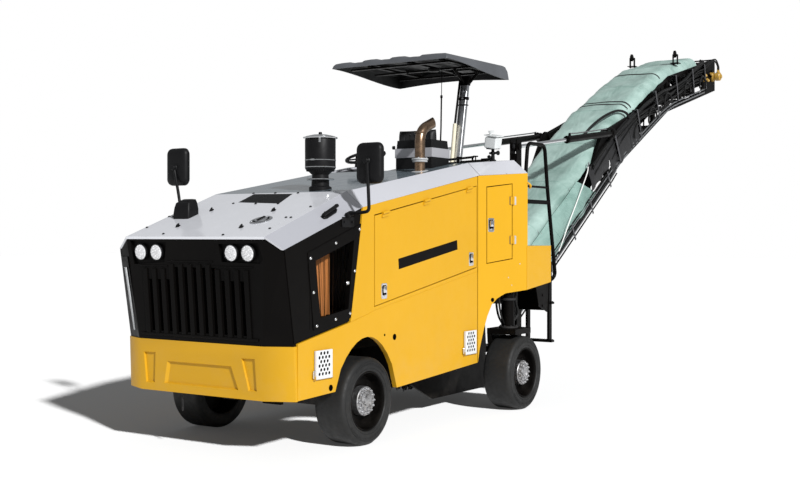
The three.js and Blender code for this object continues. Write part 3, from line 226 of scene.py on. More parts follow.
def rubber(name, color, rough=0.75, dust=0.3):
    s = Shader(name)
    patch = s.noise(7.0, 6, 0.65)
    base = s.mix(s.ranged(patch, 0.35, 0.7), shade(color, 0.8), shade(color, 1.25))
    worn = s.ranged(s.noise(2.2, 6, 0.7), 0.4, 0.75, 0.0, dust)
    s.link(s.mix(worn, base, (0.19, 0.18, 0.165)), s.bsdf.inputs["Base Color"])
    s.link(s.ranged(s.noise(30.0, 4), 0.3, 0.7, rough - 0.1, rough + 0.12), s.bsdf.inputs["Roughness"])
    s.set(Specular_IOR_Level=0.3)
    s.bump((s.noise(170.0, 5, 0.7), 0.25, 0.002), (s.noise(14.0, 3), 0.1, 0.004))
    return s.material


def cloth(name, color, shadow, rough=0.6):
    """Coated tarpaulin: a fine weave and long creases; its colour is painted shade, darkening to the shadow colour
    in patches and along the creases.
    """
    s = Shader(name)
    shade_patches = s.noise(1.3, 5, 0.6)
    crease = s.noise(3.2, 6, 0.62, s.stretched((0.5, 1.6, 1.0)), 1.2)
    blend = s.maths("ADD", s.maths("MULTIPLY", shade_patches, 0.55), s.maths("MULTIPLY", crease, 0.45))
    # Painted shade: patches and creases mix the colour towards the shadow colour.
    s.link(s.mix(s.ranged(blend, 0.36, 0.62), shadow, color), s.bsdf.inputs["Base Color"])
    s.link(s.ranged(crease, 0.3, 0.7, rough - 0.12, rough + 0.1), s.bsdf.inputs["Roughness"])
    s.set(Specular_IOR_Level=0.35, Sheen_Weight=0.15, Sheen_Roughness=0.4)
    warp = s.node("ShaderNodeTexWave", wave_type="BANDS", bands_direction="X")
    weft = s.node("ShaderNodeTexWave", wave_type="BANDS", bands_direction="Y")
    for wave in (warp, weft):
        wave.inputs["Scale"].default_value = 90.0
        s.link(s.place, wave.inputs["Vector"])
    weave = s.maths("MULTIPLY", warp.outputs["Fac"], weft.outputs["Fac"])
    s.bump((weave, 0.08, 0.0006), (crease, 0.55, 0.02))
    return s.material


YELLOW = (0.56, 0.300, 0.010)
FINISH = {
    "yellow_paint": paint("yellow_paint", YELLOW, 0.38, 0.22, 0.0, 0.18, 0.025),
    "black_paint": paint("black_paint", (0.0030, 0.0026, 0.0024), 0.36, 0.05, 0.0, 0.03, 0.2),
    "white_paint": paint("white_paint", (0.70, 0.71, 0.75), 0.12, 0.5, 0.5, 0.0, 0.006),
    "blue_grey_paint": paint("blue_grey_paint", (0.175, 0.215, 0.245), 0.10, 0.45, 0.3, 0.0, 0.02),
    "dark_grey_paint": paint("dark_grey_paint", (0.034, 0.036, 0.040), 0.45, 0.35, 0.0, 0.35, 0.12),
    "orange_paint": paint("orange_paint", (0.33, 0.12, 0.030), 0.5, 0.4, 0.0, 0.4, 0.25),
    "gold_paint": paint("gold_paint", (0.45, 0.27, 0.045), 0.35, 0.5, 0.1, 0.2, 0.2),
    "wheel_silver": metal("wheel_silver", (0.50, 0.50, 0.51), 0.42, (1, 1, 1), (0.22, 0.21, 0.20)),
    "cast_grey": paint("cast_grey", (0.020, 0.020, 0.021), 0.6, 0.2, 0.0, 0.35, 0.25),
    "bare_steel": metal("bare_steel", (0.60, 0.61, 0.63), 0.3, (1, 1, 14)),
    "polished_rod": metal("polished_rod", (0.75, 0.76, 0.78), 0.14, (14, 1, 1)),
    "hot_steel": metal("hot_steel", (0.30, 0.20, 0.13), 0.3, (1, 1, 4), (0.10, 0.07, 0.05)),
    "solid_tyre": rubber("solid_tyre", (0.0085, 0.0088, 0.0090), 0.6, 0.06),
    "belt_rubber": rubber("belt_rubber", (0.012, 0.012, 0.012), 0.75, 0.35),
    "black_plastic": plastic("black_plastic", (0.0050, 0.0050, 0.0055), 0.45, 0.16),
    "grey_plastic": plastic("grey_plastic", (0.075, 0.079, 0.087), 0.5, 0.4),
    "light_grey_plastic": plastic("light_grey_plastic", (0.62, 0.64, 0.64), 0.45),
    "black_vinyl": plastic("black_vinyl", (0.012, 0.012, 0.013), 0.55, 0.35, 260.0, 0.5),
    "tarpaulin": cloth("tarpaulin", (0.36, 0.49, 0.45), (0.15, 0.245, 0.215)),
}
EXTRA = {
    "mirror": metal("mirror_glass", (0.86, 0.88, 0.90), 0.03),
    "chrome": metal("chrome_trim", (0.78, 0.79, 0.80), 0.12),
    "hose": plastic("hose_rubber", (0.006, 0.006, 0.006), 0.5, 0.2, 300.0, 0.25),
    "grey_pipe": metal("grey_pipe", (0.36, 0.37, 0.38), 0.4),
    "rope": plastic("rope_fibre", (0.70, 0.70, 0.68), 0.75, 0.2, 500.0, 0.6),
    # A near-black without shine: the colour of dark parts, and painted shade in the panels' holes.
    "dark": paint("deep_black_and_painted_shade", (0.002, 0.002, 0.002), 0.8, 0.0, 0.0, 0.0, 0.2),
    "clip": paint("clip_grey", (0.42, 0.43, 0.44), 0.4, 0.5, 0.0, 0.1, 0.15),
    "step_white": paint("step_white", (0.62, 0.63, 0.64), 0.35, 0.4, 0.0, 0.1, 0.05),
    # The two bevel paints are the white paint darkened: painted shade on the sloping sides of the hood and the rear
    # hood.
    "white_paint_bevel_shade": paint("white_paint_bevel_shade", (0.34, 0.345, 0.375), 0.15, 0.5, 0.4, 0.0, 0.02),
    "white_paint_rear_bevel_shade": paint("white_paint_rear_bevel_shade", (0.47, 0.475, 0.51), 0.15, 0.5, 0.4, 0.0, 0.02),
    "console_silver": paint("console_silver", (0.30, 0.30, 0.32), 0.4, 0.5, 0.0, 0.0, 0.03),
    "band": metal("hose_band", (0.20, 0.20, 0.21), 0.45),
    # A darker copy of the tarpaulin, for the side flap and the hems: painted shade.
    "tarp_shade": cloth("tarpaulin_painted_shade", (0.27, 0.41, 0.37), (0.13, 0.23, 0.20)),
    "cream_paint": paint("cream_paint", (0.72, 0.66, 0.50), 0.4, 0.5, 0.1, 0.1, 0.05),
    "wire_mesh": plastic("wire_mesh", (0.020, 0.021, 0.022), 0.5, 0.3),
}


def dimple_lens():
    s = Shader("lamp_cells_edge_shade")
    cells = s.node("ShaderNodeTexVoronoi")
    cells.inputs["Scale"].default_value = 55.0
    s.link(s.place, cells.inputs["Vector"])
    # The colour darkens towards each cell's edge: painted shade between the lens cells.
    s.link(s.mix(s.ranged(cells.outputs["Distance"], 0.0, 0.55), (0.92, 0.92, 0.93), (0.62, 0.62, 0.63)),
           s.bsdf.inputs["Base Color"])
    s.set(Roughness=0.18, Specular_IOR_Level=0.7, Coat_Weight=0.8, Coat_Roughness=0.03)
    s.bump((cells.outputs["Distance"], 0.15, 0.003))
    return s.material


EXTRA["lens"] = dimple_lens()


# ------------------------------------------------------------------ mesh helpers
BOX_FACES = [(0, 1, 3, 2), (4, 6, 7, 5), (0, 4, 5, 1), (2, 3, 7, 6), (0, 2, 6, 4), (1, 5, 7, 3)]
FLAT_ANGLE = math.radians(1.0)


class Build:
    """Collects faces for one piece; each face carries the index of its material."""

    def __init__(self):
        self.points = []
        self.faces = []
        self.looks = []

    def mesh(self, points, faces, look=0):
        start = len(self.points)
        self.points += [tuple(p) for p in points]
        self.faces += [tuple(start + i for i in face) for face in faces]
        self.looks += [look] * len(faces)

    def box(self, x0, x1, y0, y1, z0, z1, look=0):
        corners = [(x, y, z) for x in (x0, x1) for y in (y0, y1) for z in (z0, z1)]
        self.mesh(corners, BOX_FACES, look)

    def placed_box(self, matrix, sx, sy, sz, look=0):
        """A box of full sizes sx, sy, sz centred on the matrix."""
        corners = [matrix @ Vector((x * sx / 2, y * sy / 2, z * sz / 2))
                   for x in (-1, 1) for y in (-1, 1) for z in (-1, 1)]
        self.mesh(corners, BOX_FACES, look)

    def slab(self, outline, shift, look=0):
        """A plate: its outline as 3-D points, and the vector to its other face."""
        n = len(outline)
        other = [Vector(p) + Vector(shift) for p in outline]
        faces = [tuple(range(n)), tuple(range(2 * n - 1, n - 1, -1))]
        faces += [(i, n + i, n + (i + 1) % n, (i + 1) % n) for i in range(n)]
        self.mesh(list(outline) + other, faces, look)

    def rings(self, rings, look=0, closed=True, caps=True, loop=False):
        count = len(rings[0])
        points = [p for ring in rings for p in ring]
        faces = []
        span = len(rings) if loop else len(rings) - 1
        for i in range(span):
            a, b = i * count, ((i + 1) % len(rings)) * count
            for k in range(count if closed else count - 1):
                j = (k + 1) % count
                faces.append((a + k, a + j, b + j, b + k))
        if caps and not loop:
            faces.append(tuple(range(count - 1, -1, -1)))
            faces.append(tuple(range((len(rings) - 1) * count, len(rings) * count)))
        self.mesh(points, faces, look)

    def lathe(self, profile, centre, axis, sides=48, look=0, caps=True):
        """profile is [radius, distance along axis] from the centre."""
        axis = Vector(axis).normalized()
        side = axis.orthogonal().normalized()
        other = axis.cross(side)
        rings = []
        for radius, along in profile:
            rings.append([Vector(centre) + axis * along + (side * math.cos(a) + other * math.sin(a))
                          * max(radius, 1e-5)
                          for a in (2 * math.pi * k / sides for k in range(sides))])
        self.rings(rings, look, caps=caps)

    def bar(self, a, b, radius, sides=12, look=0):
        a, b = Vector(a), Vector(b)
        self.lathe([(radius, 0), (radius, (b - a).length)], a, b - a, sides, look)

    def tube(self, points, radius, sides=10, look=0, corner=0.0, steps=5, caps=True):
        path = rounded(points, corner, steps) if corner else [Vector(p) for p in points]
        rings = []
        tangent = (path[1] - path[0]).normalized()
        side = tangent.orthogonal().normalized()
        for i, p in enumerate(path):
            ahead = path[min(i + 1, len(path) - 1)] - path[max(i - 1, 0)]
            ahead.normalize()
            side = (side - ahead * side.dot(ahead)).normalized()
            other = ahead.cross(side)
            rings.append([p + (side * math.cos(a) + other * math.sin(a)) * radius
                          for a in (2 * math.pi * k / sides for k in range(sides))])
        self.rings(rings, look, caps=caps)

    def bolt(self, at, normal, radius=0.011, height=0.007, look=0, sides=6):
        """A hexagon head on a washer."""
        self.lathe([(radius * 1.45, 0), (radius * 1.45, height * 0.3)], at, normal, 16, look)
        self.lathe([(radius, height * 0.3), (radius, height * 0.9), (radius * 0.8, height)], at, normal,
                   sides, look)

    def dome(self, at, normal, radius=0.012, height=0.008, look=0):
        self.lathe([(radius, 0), (radius, height * 0.3), (radius * 0.85, height * 0.7),
                    (radius * 0.45, height),
                    (0, height * 1.05)], at, normal, 14, look)


def rounded(points, corner, steps=5):
    nodes = [Vector(p) for p in points]
    path = [nodes[0]]
    for i in range(1, len(nodes) - 1):
        before, after = nodes[i - 1] - nodes[i], nodes[i + 1] - nodes[i]
        reach = min(corner, before.length * 0.45, after.length * 0.45)
        start, end = nodes[i] + before.normalized() * reach, nodes[i] + after.normalized() * reach
        for k in range(steps + 1):
            t = k / steps
            path.append(start * (1 - t) ** 2 + nodes[i] * 2 * t * (1 - t) + end * t * t)
    path.append(nodes[-1])
    return path


def smooth_path(points, per=8):
    """A Catmull-Rom curve through the points."""
    p = [Vector(q) for q in points]
    p = [p[0] * 2 - p[1]] + p + [p[-1] * 2 - p[-2]]
    path = []
    for i in range(1, len(p) - 2):
        for k in range(per):
            t = k / per
            path.append(0.5 * ((2 * p[i]) + (p[i + 1] - p[i - 1]) * t
                               + (2 * p[i - 1] - 5 * p[i] + 4 * p[i + 1] - p[i + 2]) * t * t
                               + (3 * p[i] - p[i - 1] - 3 * p[i + 1] + p[i + 2]) * t ** 3))
    path.append(p[-2])
    return path


def material_for(look):
    return FINISH.get(look) or EXTRA[look]


def settle(obj, body, looks, replaces=(), smooth=35, bevel=0.0, segments=2):
    """Gives a mesh object its materials, its bevel, its shading and its body."""
    for look in looks:
        obj.data.materials.append(material_for(look))
    if bevel:
        edge = obj.modifiers.new("bevel", "BEVEL")
        edge.width = bevel
        edge.segments = segments
        edge.limit_method = "ANGLE"
        edge.angle_limit = math.radians(28)
        edge.use_clamp_overlap = True
    for face in obj.data.polygons:
        face.use_smooth = True
    obj.data.set_sharp_from_angle(angle=math.radians(smooth))
    if bevel:
        obj.modifiers.new("weights", "WEIGHTED_NORMAL").keep_sharp = True
    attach(obj, body)
    if replaces:
        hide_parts(*replaces)
    return obj


def piece(name, build, looks, body, slot=None, replaces=(), smooth=35, bevel=0.0, weld=True, segments=2):
    """Makes an object of the collected faces."""
    mesh = bpy.data.meshes.new(name)
    mesh.from_pydata(build.points, [], build.faces)
    mesh.polygons.foreach_set("material_index", build.looks)
    bm = bmesh.new()
    bm.from_mesh(mesh)
    if weld:
        bmesh.ops.remove_doubles(bm, verts=bm.verts, dist=2e-5)
    bmesh.ops.recalc_face_normals(bm, faces=bm.faces)
    bm.to_mesh(mesh)
    bm.free()
    mesh.transform(Matrix.Translation(OFFSET))
    obj = bpy.data.objects.new(name, mesh)
    scene.collection.objects.link(obj)
    looks = [looks] if isinstance(looks, str) else list(looks)
    return settle(obj, body, looks, replaces, smooth, bevel, segments)


def cutter(build):
    mesh = bpy.data.meshes.new("cutter")
    mesh.from_pydata(build.points, [], build.faces)
    bm = bmesh.new()
    bm.from_mesh(mesh)
    bmesh.ops.remove_doubles(bm, verts=bm.verts, dist=2e-5)
    bmesh.ops.recalc_face_normals(bm, faces=bm.faces)
    bm.to_mesh(mesh)
    bm.free()
    mesh.transform(Matrix.Translation(OFFSET))
    obj = bpy.data.objects.new("cutter", mesh)
    scene.collection.objects.link(obj)
    return obj


def refined(node, look=None, bevel=0.004, cuts=(), smooth=35, extra=(), segments=2):
    """A copy of a CAD node with its flat faces merged, cut and bevelled, in the node's place."""
    bm = bmesh.new()
    bm.from_mesh(NODES[node].data)
    bmesh.ops.remove_doubles(bm, verts=bm.verts, dist=1e-5)
    bmesh.ops.dissolve_limit(bm, angle_limit=FLAT_ANGLE, verts=bm.verts, edges=bm.edges)
    mesh = bpy.data.meshes.new(node + "_shell")
    bm.to_mesh(mesh)
    bm.free()
    obj = bpy.data.objects.new(node + "_shell", mesh)
    scene.collection.objects.link(obj)
    for build in cuts:
        tool = cutter(build)
        step = obj.modifiers.new("cut", "BOOLEAN")
        step.object = tool
        step.operation = "DIFFERENCE"
        step.solver = "EXACT"
        bpy.context.view_layer.update()
        result = bpy.data.meshes.new_from_object(obj.evaluated_get(bpy.context.evaluated_depsgraph_get()))
        obj.modifiers.clear()
        obj.data = result
        bpy.data.objects.remove(tool)
    if cuts:
        bm = bmesh.new()
        bm.from_mesh(obj.data)
        bmesh.ops.remove_doubles(bm, verts=bm.verts, dist=1e-5)
        bmesh.ops.dissolve_limit(bm, angle_limit=FLAT_ANGLE, verts=bm.verts, edges=bm.edges)
        bm.to_mesh(obj.data)
        bm.free()
    obj.data.materials.clear()
    for face in obj.data.polygons:
        face.material_index = 0
    look = look or SLOT_OF[node]
    return settle(obj, BODY_OF[node], [look, *extra], [node], smooth, bevel, segments)


# ------------------------------------------------------------------ shared shapes
def mirror_build(build):
    other = Build()
    other.points = [(x, -y, z) for x, y, z in build.points]
    other.faces = [tuple(reversed(face)) for face in build.faces]
    other.looks = list(build.looks)
    return other


def pair(name, build, looks, body, replaces=(), **more):
    """A left piece and its mirror image; body and replaces take the side's name where they are sided."""
    for side, shape in (("left", build), ("right", mirror_build(build))):
        sided = f"{body}_{side}"
        piece(f"{name}_{side}", shape, looks, sided if sided in frame["bodies"] else body,
              replaces=[f"{n}_{side}" for n in replaces], **more)


def facing(at, along, up):
    """A frame on a face: x runs along it, y up it and z out of it."""
    along, up = Vector(along).normalized(), Vector(up)
    out = along.cross(up).normalized()
    up = out.cross(along)
    matrix = Matrix((along, up, out)).transposed().to_4x4()
    matrix.translation = Vector(at)
    return matrix


def rounded_rect(width, height, radius, steps=6):
    """Corner points of a rounded rectangle about the origin."""
    points = []
    for cx, cy, start in ((1, 1, 0), (-1, 1, 90), (-1, -1, 180), (1, -1, 270)):
        for k in range(steps + 1):
            a = math.radians(start + 90 * k / steps)
            points.append((cx * (width / 2 - radius) + radius * math.cos(a),
                           cy * (height / 2 - radius) + radius * math.sin(a)))
    return points


def pad(build, matrix, width, height, radius, profile, look=0):
    """A rounded block on a face; profile is [inset, height off the face]."""
    rings = []
    for inset, lift in profile:
        rings.append([matrix @ Vector((u, v, lift)) for u, v in rounded_rect(
            width - 2 * inset, height - 2 * inset, max(radius - inset, 0.001))])
    build.rings(rings, look)


EAVE = ((0.926, 1.458), (0.006, 1.768), (-1.756, 2.079), (-2.300, 2.118))
CREST = ((0.979, 1.549), (0.020, 1.889), (-1.820, 2.197), (-2.300, 2.240))


def height_on(line, x):
    i = 0
    while i < len(line) - 2 and x < line[i + 1][0]:
        i += 1
    (xa, za), (xb, zb) = line[i], line[i + 1]
    return za + (zb - za) * (x - xa) / (xb - xa)


FLARE = math.atan2(0.2, 0.56)


def on_flare(s, depth, z):
    return Vector((-1.740 - s * math.cos(FLARE) + depth * math.sin(FLARE),
                   0.800 + s * math.sin(FLARE) + depth * math.cos(FLARE), z))


SIDE_ALONG, UP = (-1, 0, 0), (0, 0, 1)
FLARE_ALONG = (-math.cos(FLARE), math.sin(FLARE), 0)
WHEEL_Z = 0.32718

# ------------------------------------------------------------------ wheels
TYRE_PROFILE = [
    (0.2222, -0.262), (0.236, -0.268), (0.290, -0.2698), (0.304, -0.2665), (0.316, -0.259), (0.3235, -0.247),
    (0.3265, -0.232), (0.3268, -0.180), (0.3268, -0.090), (0.3265, -0.038), (0.3235, -0.023), (0.316, -0.011),
    (0.304, -0.0035), (0.297, -0.0010), (0.295, -0.0035), (0.291, -0.0035), (0.289, -0.0003), (0.266, 0.0),
    (0.247, -0.0003), (0.245, -0.0035), (0.241, -0.0035), (0.239, -0.0008), (0.228, -0.003), (0.2222, -0.010)]
RIM_PROFILE = [
    (0.001, -0.150), (0.070, -0.150), (0.072, -0.124), (0.196, -0.122), (0.203, -0.140), (0.206, -0.240),
    (0.214, -0.257), (0.2220, -0.257), (0.2220, -0.013), (0.2175, -0.008), (0.211, -0.009), (0.206, -0.016),
    (0.203, -0.040), (0.200, -0.078), (0.190, -0.093), (0.168, -0.098), (0.118, -0.096), (0.110, -0.090)]


def revolve(build, profile, centre, axis, sides, look=0, loop=False):
    axis = Vector(axis)
    side = axis.orthogonal().normalized()
    other = axis.cross(side)
    rings = [[Vector(centre) + axis * along + (side * math.cos(a) + other * math.sin(a)) * radius
              for a in (2 * math.pi * k / sides for k in range(sides))] for radius, along in profile]
    build.rings(rings, look, caps=not loop, loop=loop)


def wheel(corner, x, face, side):
    centre, axis = Vector((x, side * face, WHEEL_Z)), Vector((0, side, 0))
    tyre = Build()
    revolve(tyre, TYRE_PROFILE, centre, axis, 128, loop=True)
    # moulded marks round the sidewall: plain bars of uneven length
    angle = 0.0
    while angle < 6.1:
        span = random.choice((0.035, 0.06, 0.09))
        if 0.9 < angle < 2.3 or 4.0 < angle < 5.6:
            for k in range(2):
                a0, a1 = angle, angle + span
                inner, outer = 0.268 + 0.009 * k, 0.2745 + 0.009 * k
                corner_points = [centre + Vector((math.cos(a) * r, side * 0.0002, math.sin(a) * r))
                                 for a, r in ((a0, inner), (a1, inner), (a1, outer), (a0, outer))]
                tyre.slab(corner_points, (0, side * 0.0016, 0))
        angle += span + 0.03
    body = f"wheel_{corner}"
    piece(f"tyre_skin_{corner}", tyre, ["solid_tyre"], body, replaces=[f"tyre_{corner}"], smooth=32)
    rim = Build()
    revolve(rim, RIM_PROFILE, centre, axis, 96)
    for k in range(4):
        a = math.pi / 4 + k * math.pi / 2
        spot = centre + Vector((math.cos(a) * 0.155, -side * 0.0975, math.sin(a) * 0.155))
        rim.lathe([(0.016, -0.004), (0.016, 0.002), (0.012, 0.004), (0.008, -0.001), (0, -0.001)], spot,
                  axis, 20)
    piece(f"rim_{corner}", rim, ["black_paint"], body, "cast_grey", replaces=[f"hub_{corner}"], smooth=32)
    hub = Build()
    revolve(hub, [(0.110, -0.096), (0.1095, -0.034), (0.106, -0.029), (0.072, -0.027), (0.070, -0.018),
                  (0.052, -0.015), (0.048, -0.022), (0.034, -0.022), (0.030, -0.011), (0.012, -0.008),
                  (0.0005, -0.008)],
            centre, axis, 64)
    for count, radius, size in ((14, 0.0895, 0.0115), (8, 0.060, 0.0075)):
        for k in range(count):
            a = 2 * math.pi * k / count
            spot = centre + Vector((math.cos(a) * radius, -side * (0.029 if radius > 0.07 else 0.024),
                                    math.sin(a) * radius))
            hub.lathe([(size * 1.3, 0), (size * 1.3, 0.003)], spot, axis, 14)
            hub.lathe([(size, 0.003), (size, 0.013), (size * 0.85, 0.015)], spot, axis, 6)
            hub.lathe([(size * 0.5, 0.014), (size * 0.5, 0.021), (size * 0.3, 0.022)], spot, axis, 10)
    for k in range(3):
        a = math.radians(100 + 120 * k)
        direction = Vector((math.cos(a), 0, math.sin(a)))
        hub.bar(centre + direction * 0.02 + axis * -0.010, centre + direction * 0.045 + axis * -0.017, 0.005,
                8)
    piece(f"hub_face_{corner}", hub, ["wheel_silver"], body, smooth=32, weld=False)


wheel("front_left", 0, FRONT_WHEEL_FACE, 1)
wheel("front_right", 0, FRONT_WHEEL_FACE, -1)
wheel("rear_left", REAR_AXLE_X, REAR_WHEEL_FACE, 1)
wheel("rear_right", REAR_AXLE_X, REAR_WHEEL_FACE, -1)

# ------------------------------------------------------------------ bumper
def bumper_x(z):
    return 0.898 + (z - 0.416) * 0.0475


recesses = []
for outline in (
        ((-0.314, 0.641), (0.304, 0.641), (0.366, 0.477), (-0.352, 0.477)),
        ((-0.550, 0.698), (-0.429, 0.701), (-0.448, 0.475), (-0.535, 0.471)),
        ((0.399, 0.703), (0.521, 0.707), (0.531, 0.479), (0.457, 0.477))):
    recess = Build()
    cy = sum(y for y, z in outline) / 4
    cz = sum(z for y, z in outline) / 4
    floor_points = [(bumper_x(z) - 0.016, cy + (y - cy) * 0.93, cz + (z - cz) * 0.93) for y, z in outline]
    mouth = [(bumper_x(z) + 0.001, y, z) for y, z in outline]
    beyond = [(bumper_x(z) + 0.03, cy + (y - cy) * 1.02, cz + (z - cz) * 1.02) for y, z in outline]
    recess.rings([floor_points, mouth, beyond])
    recesses.append(recess)
refined("front_bumper", bevel=0.006, cuts=recesses, segments=3, smooth=40)

# Dark discs stand where the panels have holes: painted shade of the holes' insides.
hole_shade_discs = Build()
hole_shade_discs.lathe([(0.023, 0), (0.023, 0.002), (0.017, 0.003), (0.016, 0.0005), (0, 0.0005)], (0.408, 0.8001, 0.470),
           (0, 1, 0), 24)
for x, z, r in ((-0.418, 0.771, 0.024), (-0.281, 0.796, 0.009)):
    hole_shade_discs.lathe([(r, 0), (r, 0.0018), (r * 0.8, 0.0025), (r * 0.75, 0.0003), (0, 0.0003)], (x, 0.8001, z),
               (0, 1, 0), 24)
at = on_flare(math.hypot(-1.9 + 1.74, 0.857 - 0.8), 0.0001, 0.987)
hole_shade_discs.lathe([(0.019, 0), (0.019, 0.0018), (0.015, 0.0025), (0.014, 0.0003), (0, 0.0003)], at,
           (math.sin(FLARE), math.cos(FLARE), 0), 24)
pair("panel_hole_shade", hole_shade_discs, ["dark"], "chassis", slot="black_paint")

chain = Build()
for k in range(7):
    centre = Vector((0.86, -0.205, 0.407 - 0.019 * k))
    turn = (Vector((1, 0, 0)), Vector((0, 1, 0)))[k % 2]
    link = []
    for step in range(16):
        a = 2 * math.pi * step / 16
        link.append(centre + turn * math.cos(a) * 0.007 + Vector((0, 0, math.sin(a) * 0.0125)))
    rings = []
    normal = turn.cross(Vector((0, 0, 1)))
    for p in link:
        out = (p - centre).normalized()
        rings.append([p + (out * math.cos(b) + normal * math.sin(b)) * 0.0026
                      for b in (2 * math.pi * q / 6 for q in range(6))])
    chain.rings(rings, loop=True)
piece("earth_chain", chain, ["cast_grey"], "chassis")

# ------------------------------------------------------------------ grille, lamps and louvres
def grille_x(z):
    return 0.910 + (z - 0.795) * 0.0856


lamp_recesses = []
for outline in (
        ((-0.629, 1.520), (-0.262, 1.510), (-0.290, 1.365), (-0.603, 1.345)),
        ((0.239, 1.498), (0.262, 1.373), (0.610, 1.365), (0.640, 1.395), (0.600, 1.507))):
    recess = Build()
    recess.rings([[(grille_x(z) - 0.022, y, z) for y, z in outline],
                  [(grille_x(z) + 0.04, y, z) for y, z in outline]])
    lamp_recesses.append(recess)
WINDOW = ((0.581, 1.379), (0.115, 1.524), (0.186, 1.021), (0.523, 0.976))
for side in (1, -1):
    opening = Build()
    opening.slab([(x, side * 0.70, z) for x, z in WINDOW], (0, side * 0.14, 0))
    lamp_recesses.append(opening)
refined("front_grille", bevel=0.004, cuts=lamp_recesses)

ribs = Build()
for i in range(-6, 6):
    y = (i + 0.5) * 0.088
    high = 1.352 if -3 <= i <= 1 else 1.318
    x0, x1 = grille_x(0.845), grille_x(high)
    ribs.slab([(x0 - 0.004, y - 0.020, 0.845), (x0 - 0.004, y + 0.020, 0.845),
               (x1 - 0.004, y + 0.020, high), (x1 - 0.004, y - 0.020, high)], (0.016, 0, 0))
# the stepped frame above the ribs
for y0, y1, z in ((-0.545, -0.262, 1.332), (-0.262, 0.176, 1.366), (0.176, 0.545, 1.332)):
    x = grille_x(z)
    ribs.slab([(x - 0.002, y0, z), (x - 0.002, y1, z), (x, y1, z + 0.012), (x, y0, z + 0.012)], (0.008, 0, 0))
x = grille_x(0.845)
ribs.slab([(x - 0.004, -0.56, 0.826), (x - 0.004, 0.56, 0.826), (x - 0.002, 0.56, 0.845),
           (x - 0.002, -0.56, 0.845)],
          (0.012, 0, 0))
piece("grille_ribs", ribs, ["black_paint"], "chassis", bevel=0.003)

corner_trim = Build()
corner_trim.slab([(0.908, -0.600, 0.83), (0.826, -0.762, 0.83), (0.926, -0.766, 1.40),
                  (0.962, -0.664, 1.40)], (0.004, 0, 0))
piece("grille_corner_far", corner_trim, ["black_paint"], "chassis", bevel=0.001)
strip = Build()
strip.slab([(0.884, -0.660, 0.85), (0.869, -0.690, 0.85), (0.937, -0.716, 1.32), (0.949, -0.690, 1.32)],
           (0.006, -0.003, 0))
piece("corner_reflector_far", strip, ["clip"], "chassis", slot="light_grey_plastic")

bezels, lenses = Build(), Build()
for y in (-0.527, -0.368, 0.352, 0.504):
    at = Vector((grille_x(1.437) - 0.021, y, 1.437))
    out = Vector((1, 0, -0.0856)).normalized()
    bezels.lathe([(0.040, 0), (0.060, 0.006), (0.0625, 0.022), (0.060, 0.0255), (0.0565, 0.0255),
                  (0.055, 0.020),
                  (0.02, 0.018), (0, 0.018)], at, out, 40)
    lenses.lathe([(0.0553, 0.018), (0.0553, 0.0225), (0.050, 0.0255), (0.030, 0.0280), (0, 0.029)], at, out,
                 40)
    side_axis = out.orthogonal().normalized()
    up_axis = out.cross(side_axis)
    for row in range(-4, 5):
        for column in range(-4, 5):
            u = (column + 0.5 * (row % 2)) * 0.0125
            v = row * 0.0108
            if math.hypot(u, v) < 0.047:
                spot = at + side_axis * u + up_axis * v + out * (0.0252 + 0.0035 * (1 - (math.hypot(u,
                                                                                                    v) / 0.05) ** 2))
                lenses.lathe([(0.0058, -0.001), (0.0050, 0.0022), (0.0025, 0.0038), (0, 0.0042)], spot, out,
                             6)
piece("lamp_bezels", bezels, ["black_plastic"], "chassis")
piece("lamp_lenses", lenses, ["lens"], "chassis", slot="light_grey_plastic")

FRAME_OUT = ((0.668, 1.436), (0.018, 1.648), (0.142, 0.958), (0.600, 0.892))
louvres = Build()
louvres.box(0.606, 0.700, 0.7885, 0.7906, 0.880, 1.440)
for k in range(4):
    a, b, c, d = FRAME_OUT[k], FRAME_OUT[(k + 1) % 4], WINDOW[(k + 1) % 4], WINDOW[k]
    louvres.slab([(x, 0.7915, z) for x, z in (a, b, c, d)], (0, 0.005, 0))
for k in range(9):
    t = (k + 0.5) / 9
    top = Vector(WINDOW[0]).lerp(Vector(WINDOW[1]), t)
    foot = Vector(WINDOW[3]).lerp(Vector(WINDOW[2]), t)
    louvres.slab([(top.x + 0.010, 0.786, top.y), (top.x - 0.006, 0.772, top.y),
                  (foot.x - 0.006, 0.772, foot.y),
                  (foot.x + 0.010, 0.786, foot.y)], (0.004, 0.004, 0))
pair("louvre_frame", louvres, ["black_paint"], "chassis", bevel=0.0012)
bolts = Build()
for x, z in ((0.638, 1.400), (0.341, 1.504), (0.047, 1.605), (0.108, 1.298), (0.168, 0.989), (0.345, 0.956),
             (0.567, 0.923), (0.604, 1.160)):
    bolts.dome((x, 0.7962, z), (0, 1, 0), 0.0125, 0.0085)
latch_at = facing((0.198, 0.790, 1.211), SIDE_ALONG, UP)
pad(bolts, latch_at, 0.030, 0.024, 0.006, [(0, 0), (0, 0.010), (0.003, 0.013)])
pair("louvre_bolts", bolts, ["chrome"], "chassis", slot="bare_steel")
shroud = Build()
rows = []
for k in range(9):
    a = math.radians(-8 + 12 * k)
    rows.append([(0.300 + 0.240 * math.cos(a), 0.565 + 0.150 * math.sin(a), z) for z in (0.93, 1.20, 1.44)])
inner = [[(x - 0.004, y - 0.004, z) for x, y, z in row] for row in rows]
shroud.rings([r + list(reversed(i)) for r, i in zip(rows, inner)])
pair("fan_shroud", shroud, ["orange_paint"], "chassis")

# ------------------------------------------------------------------ hood
HOOD_OUT = Vector((0.3342, 0, 0.9425))


def on_hood(x, y, lift=0.0):
    return Vector((x, y, 1.549 + (0.979 - x) * 0.3545)) + HOOD_OUT * lift


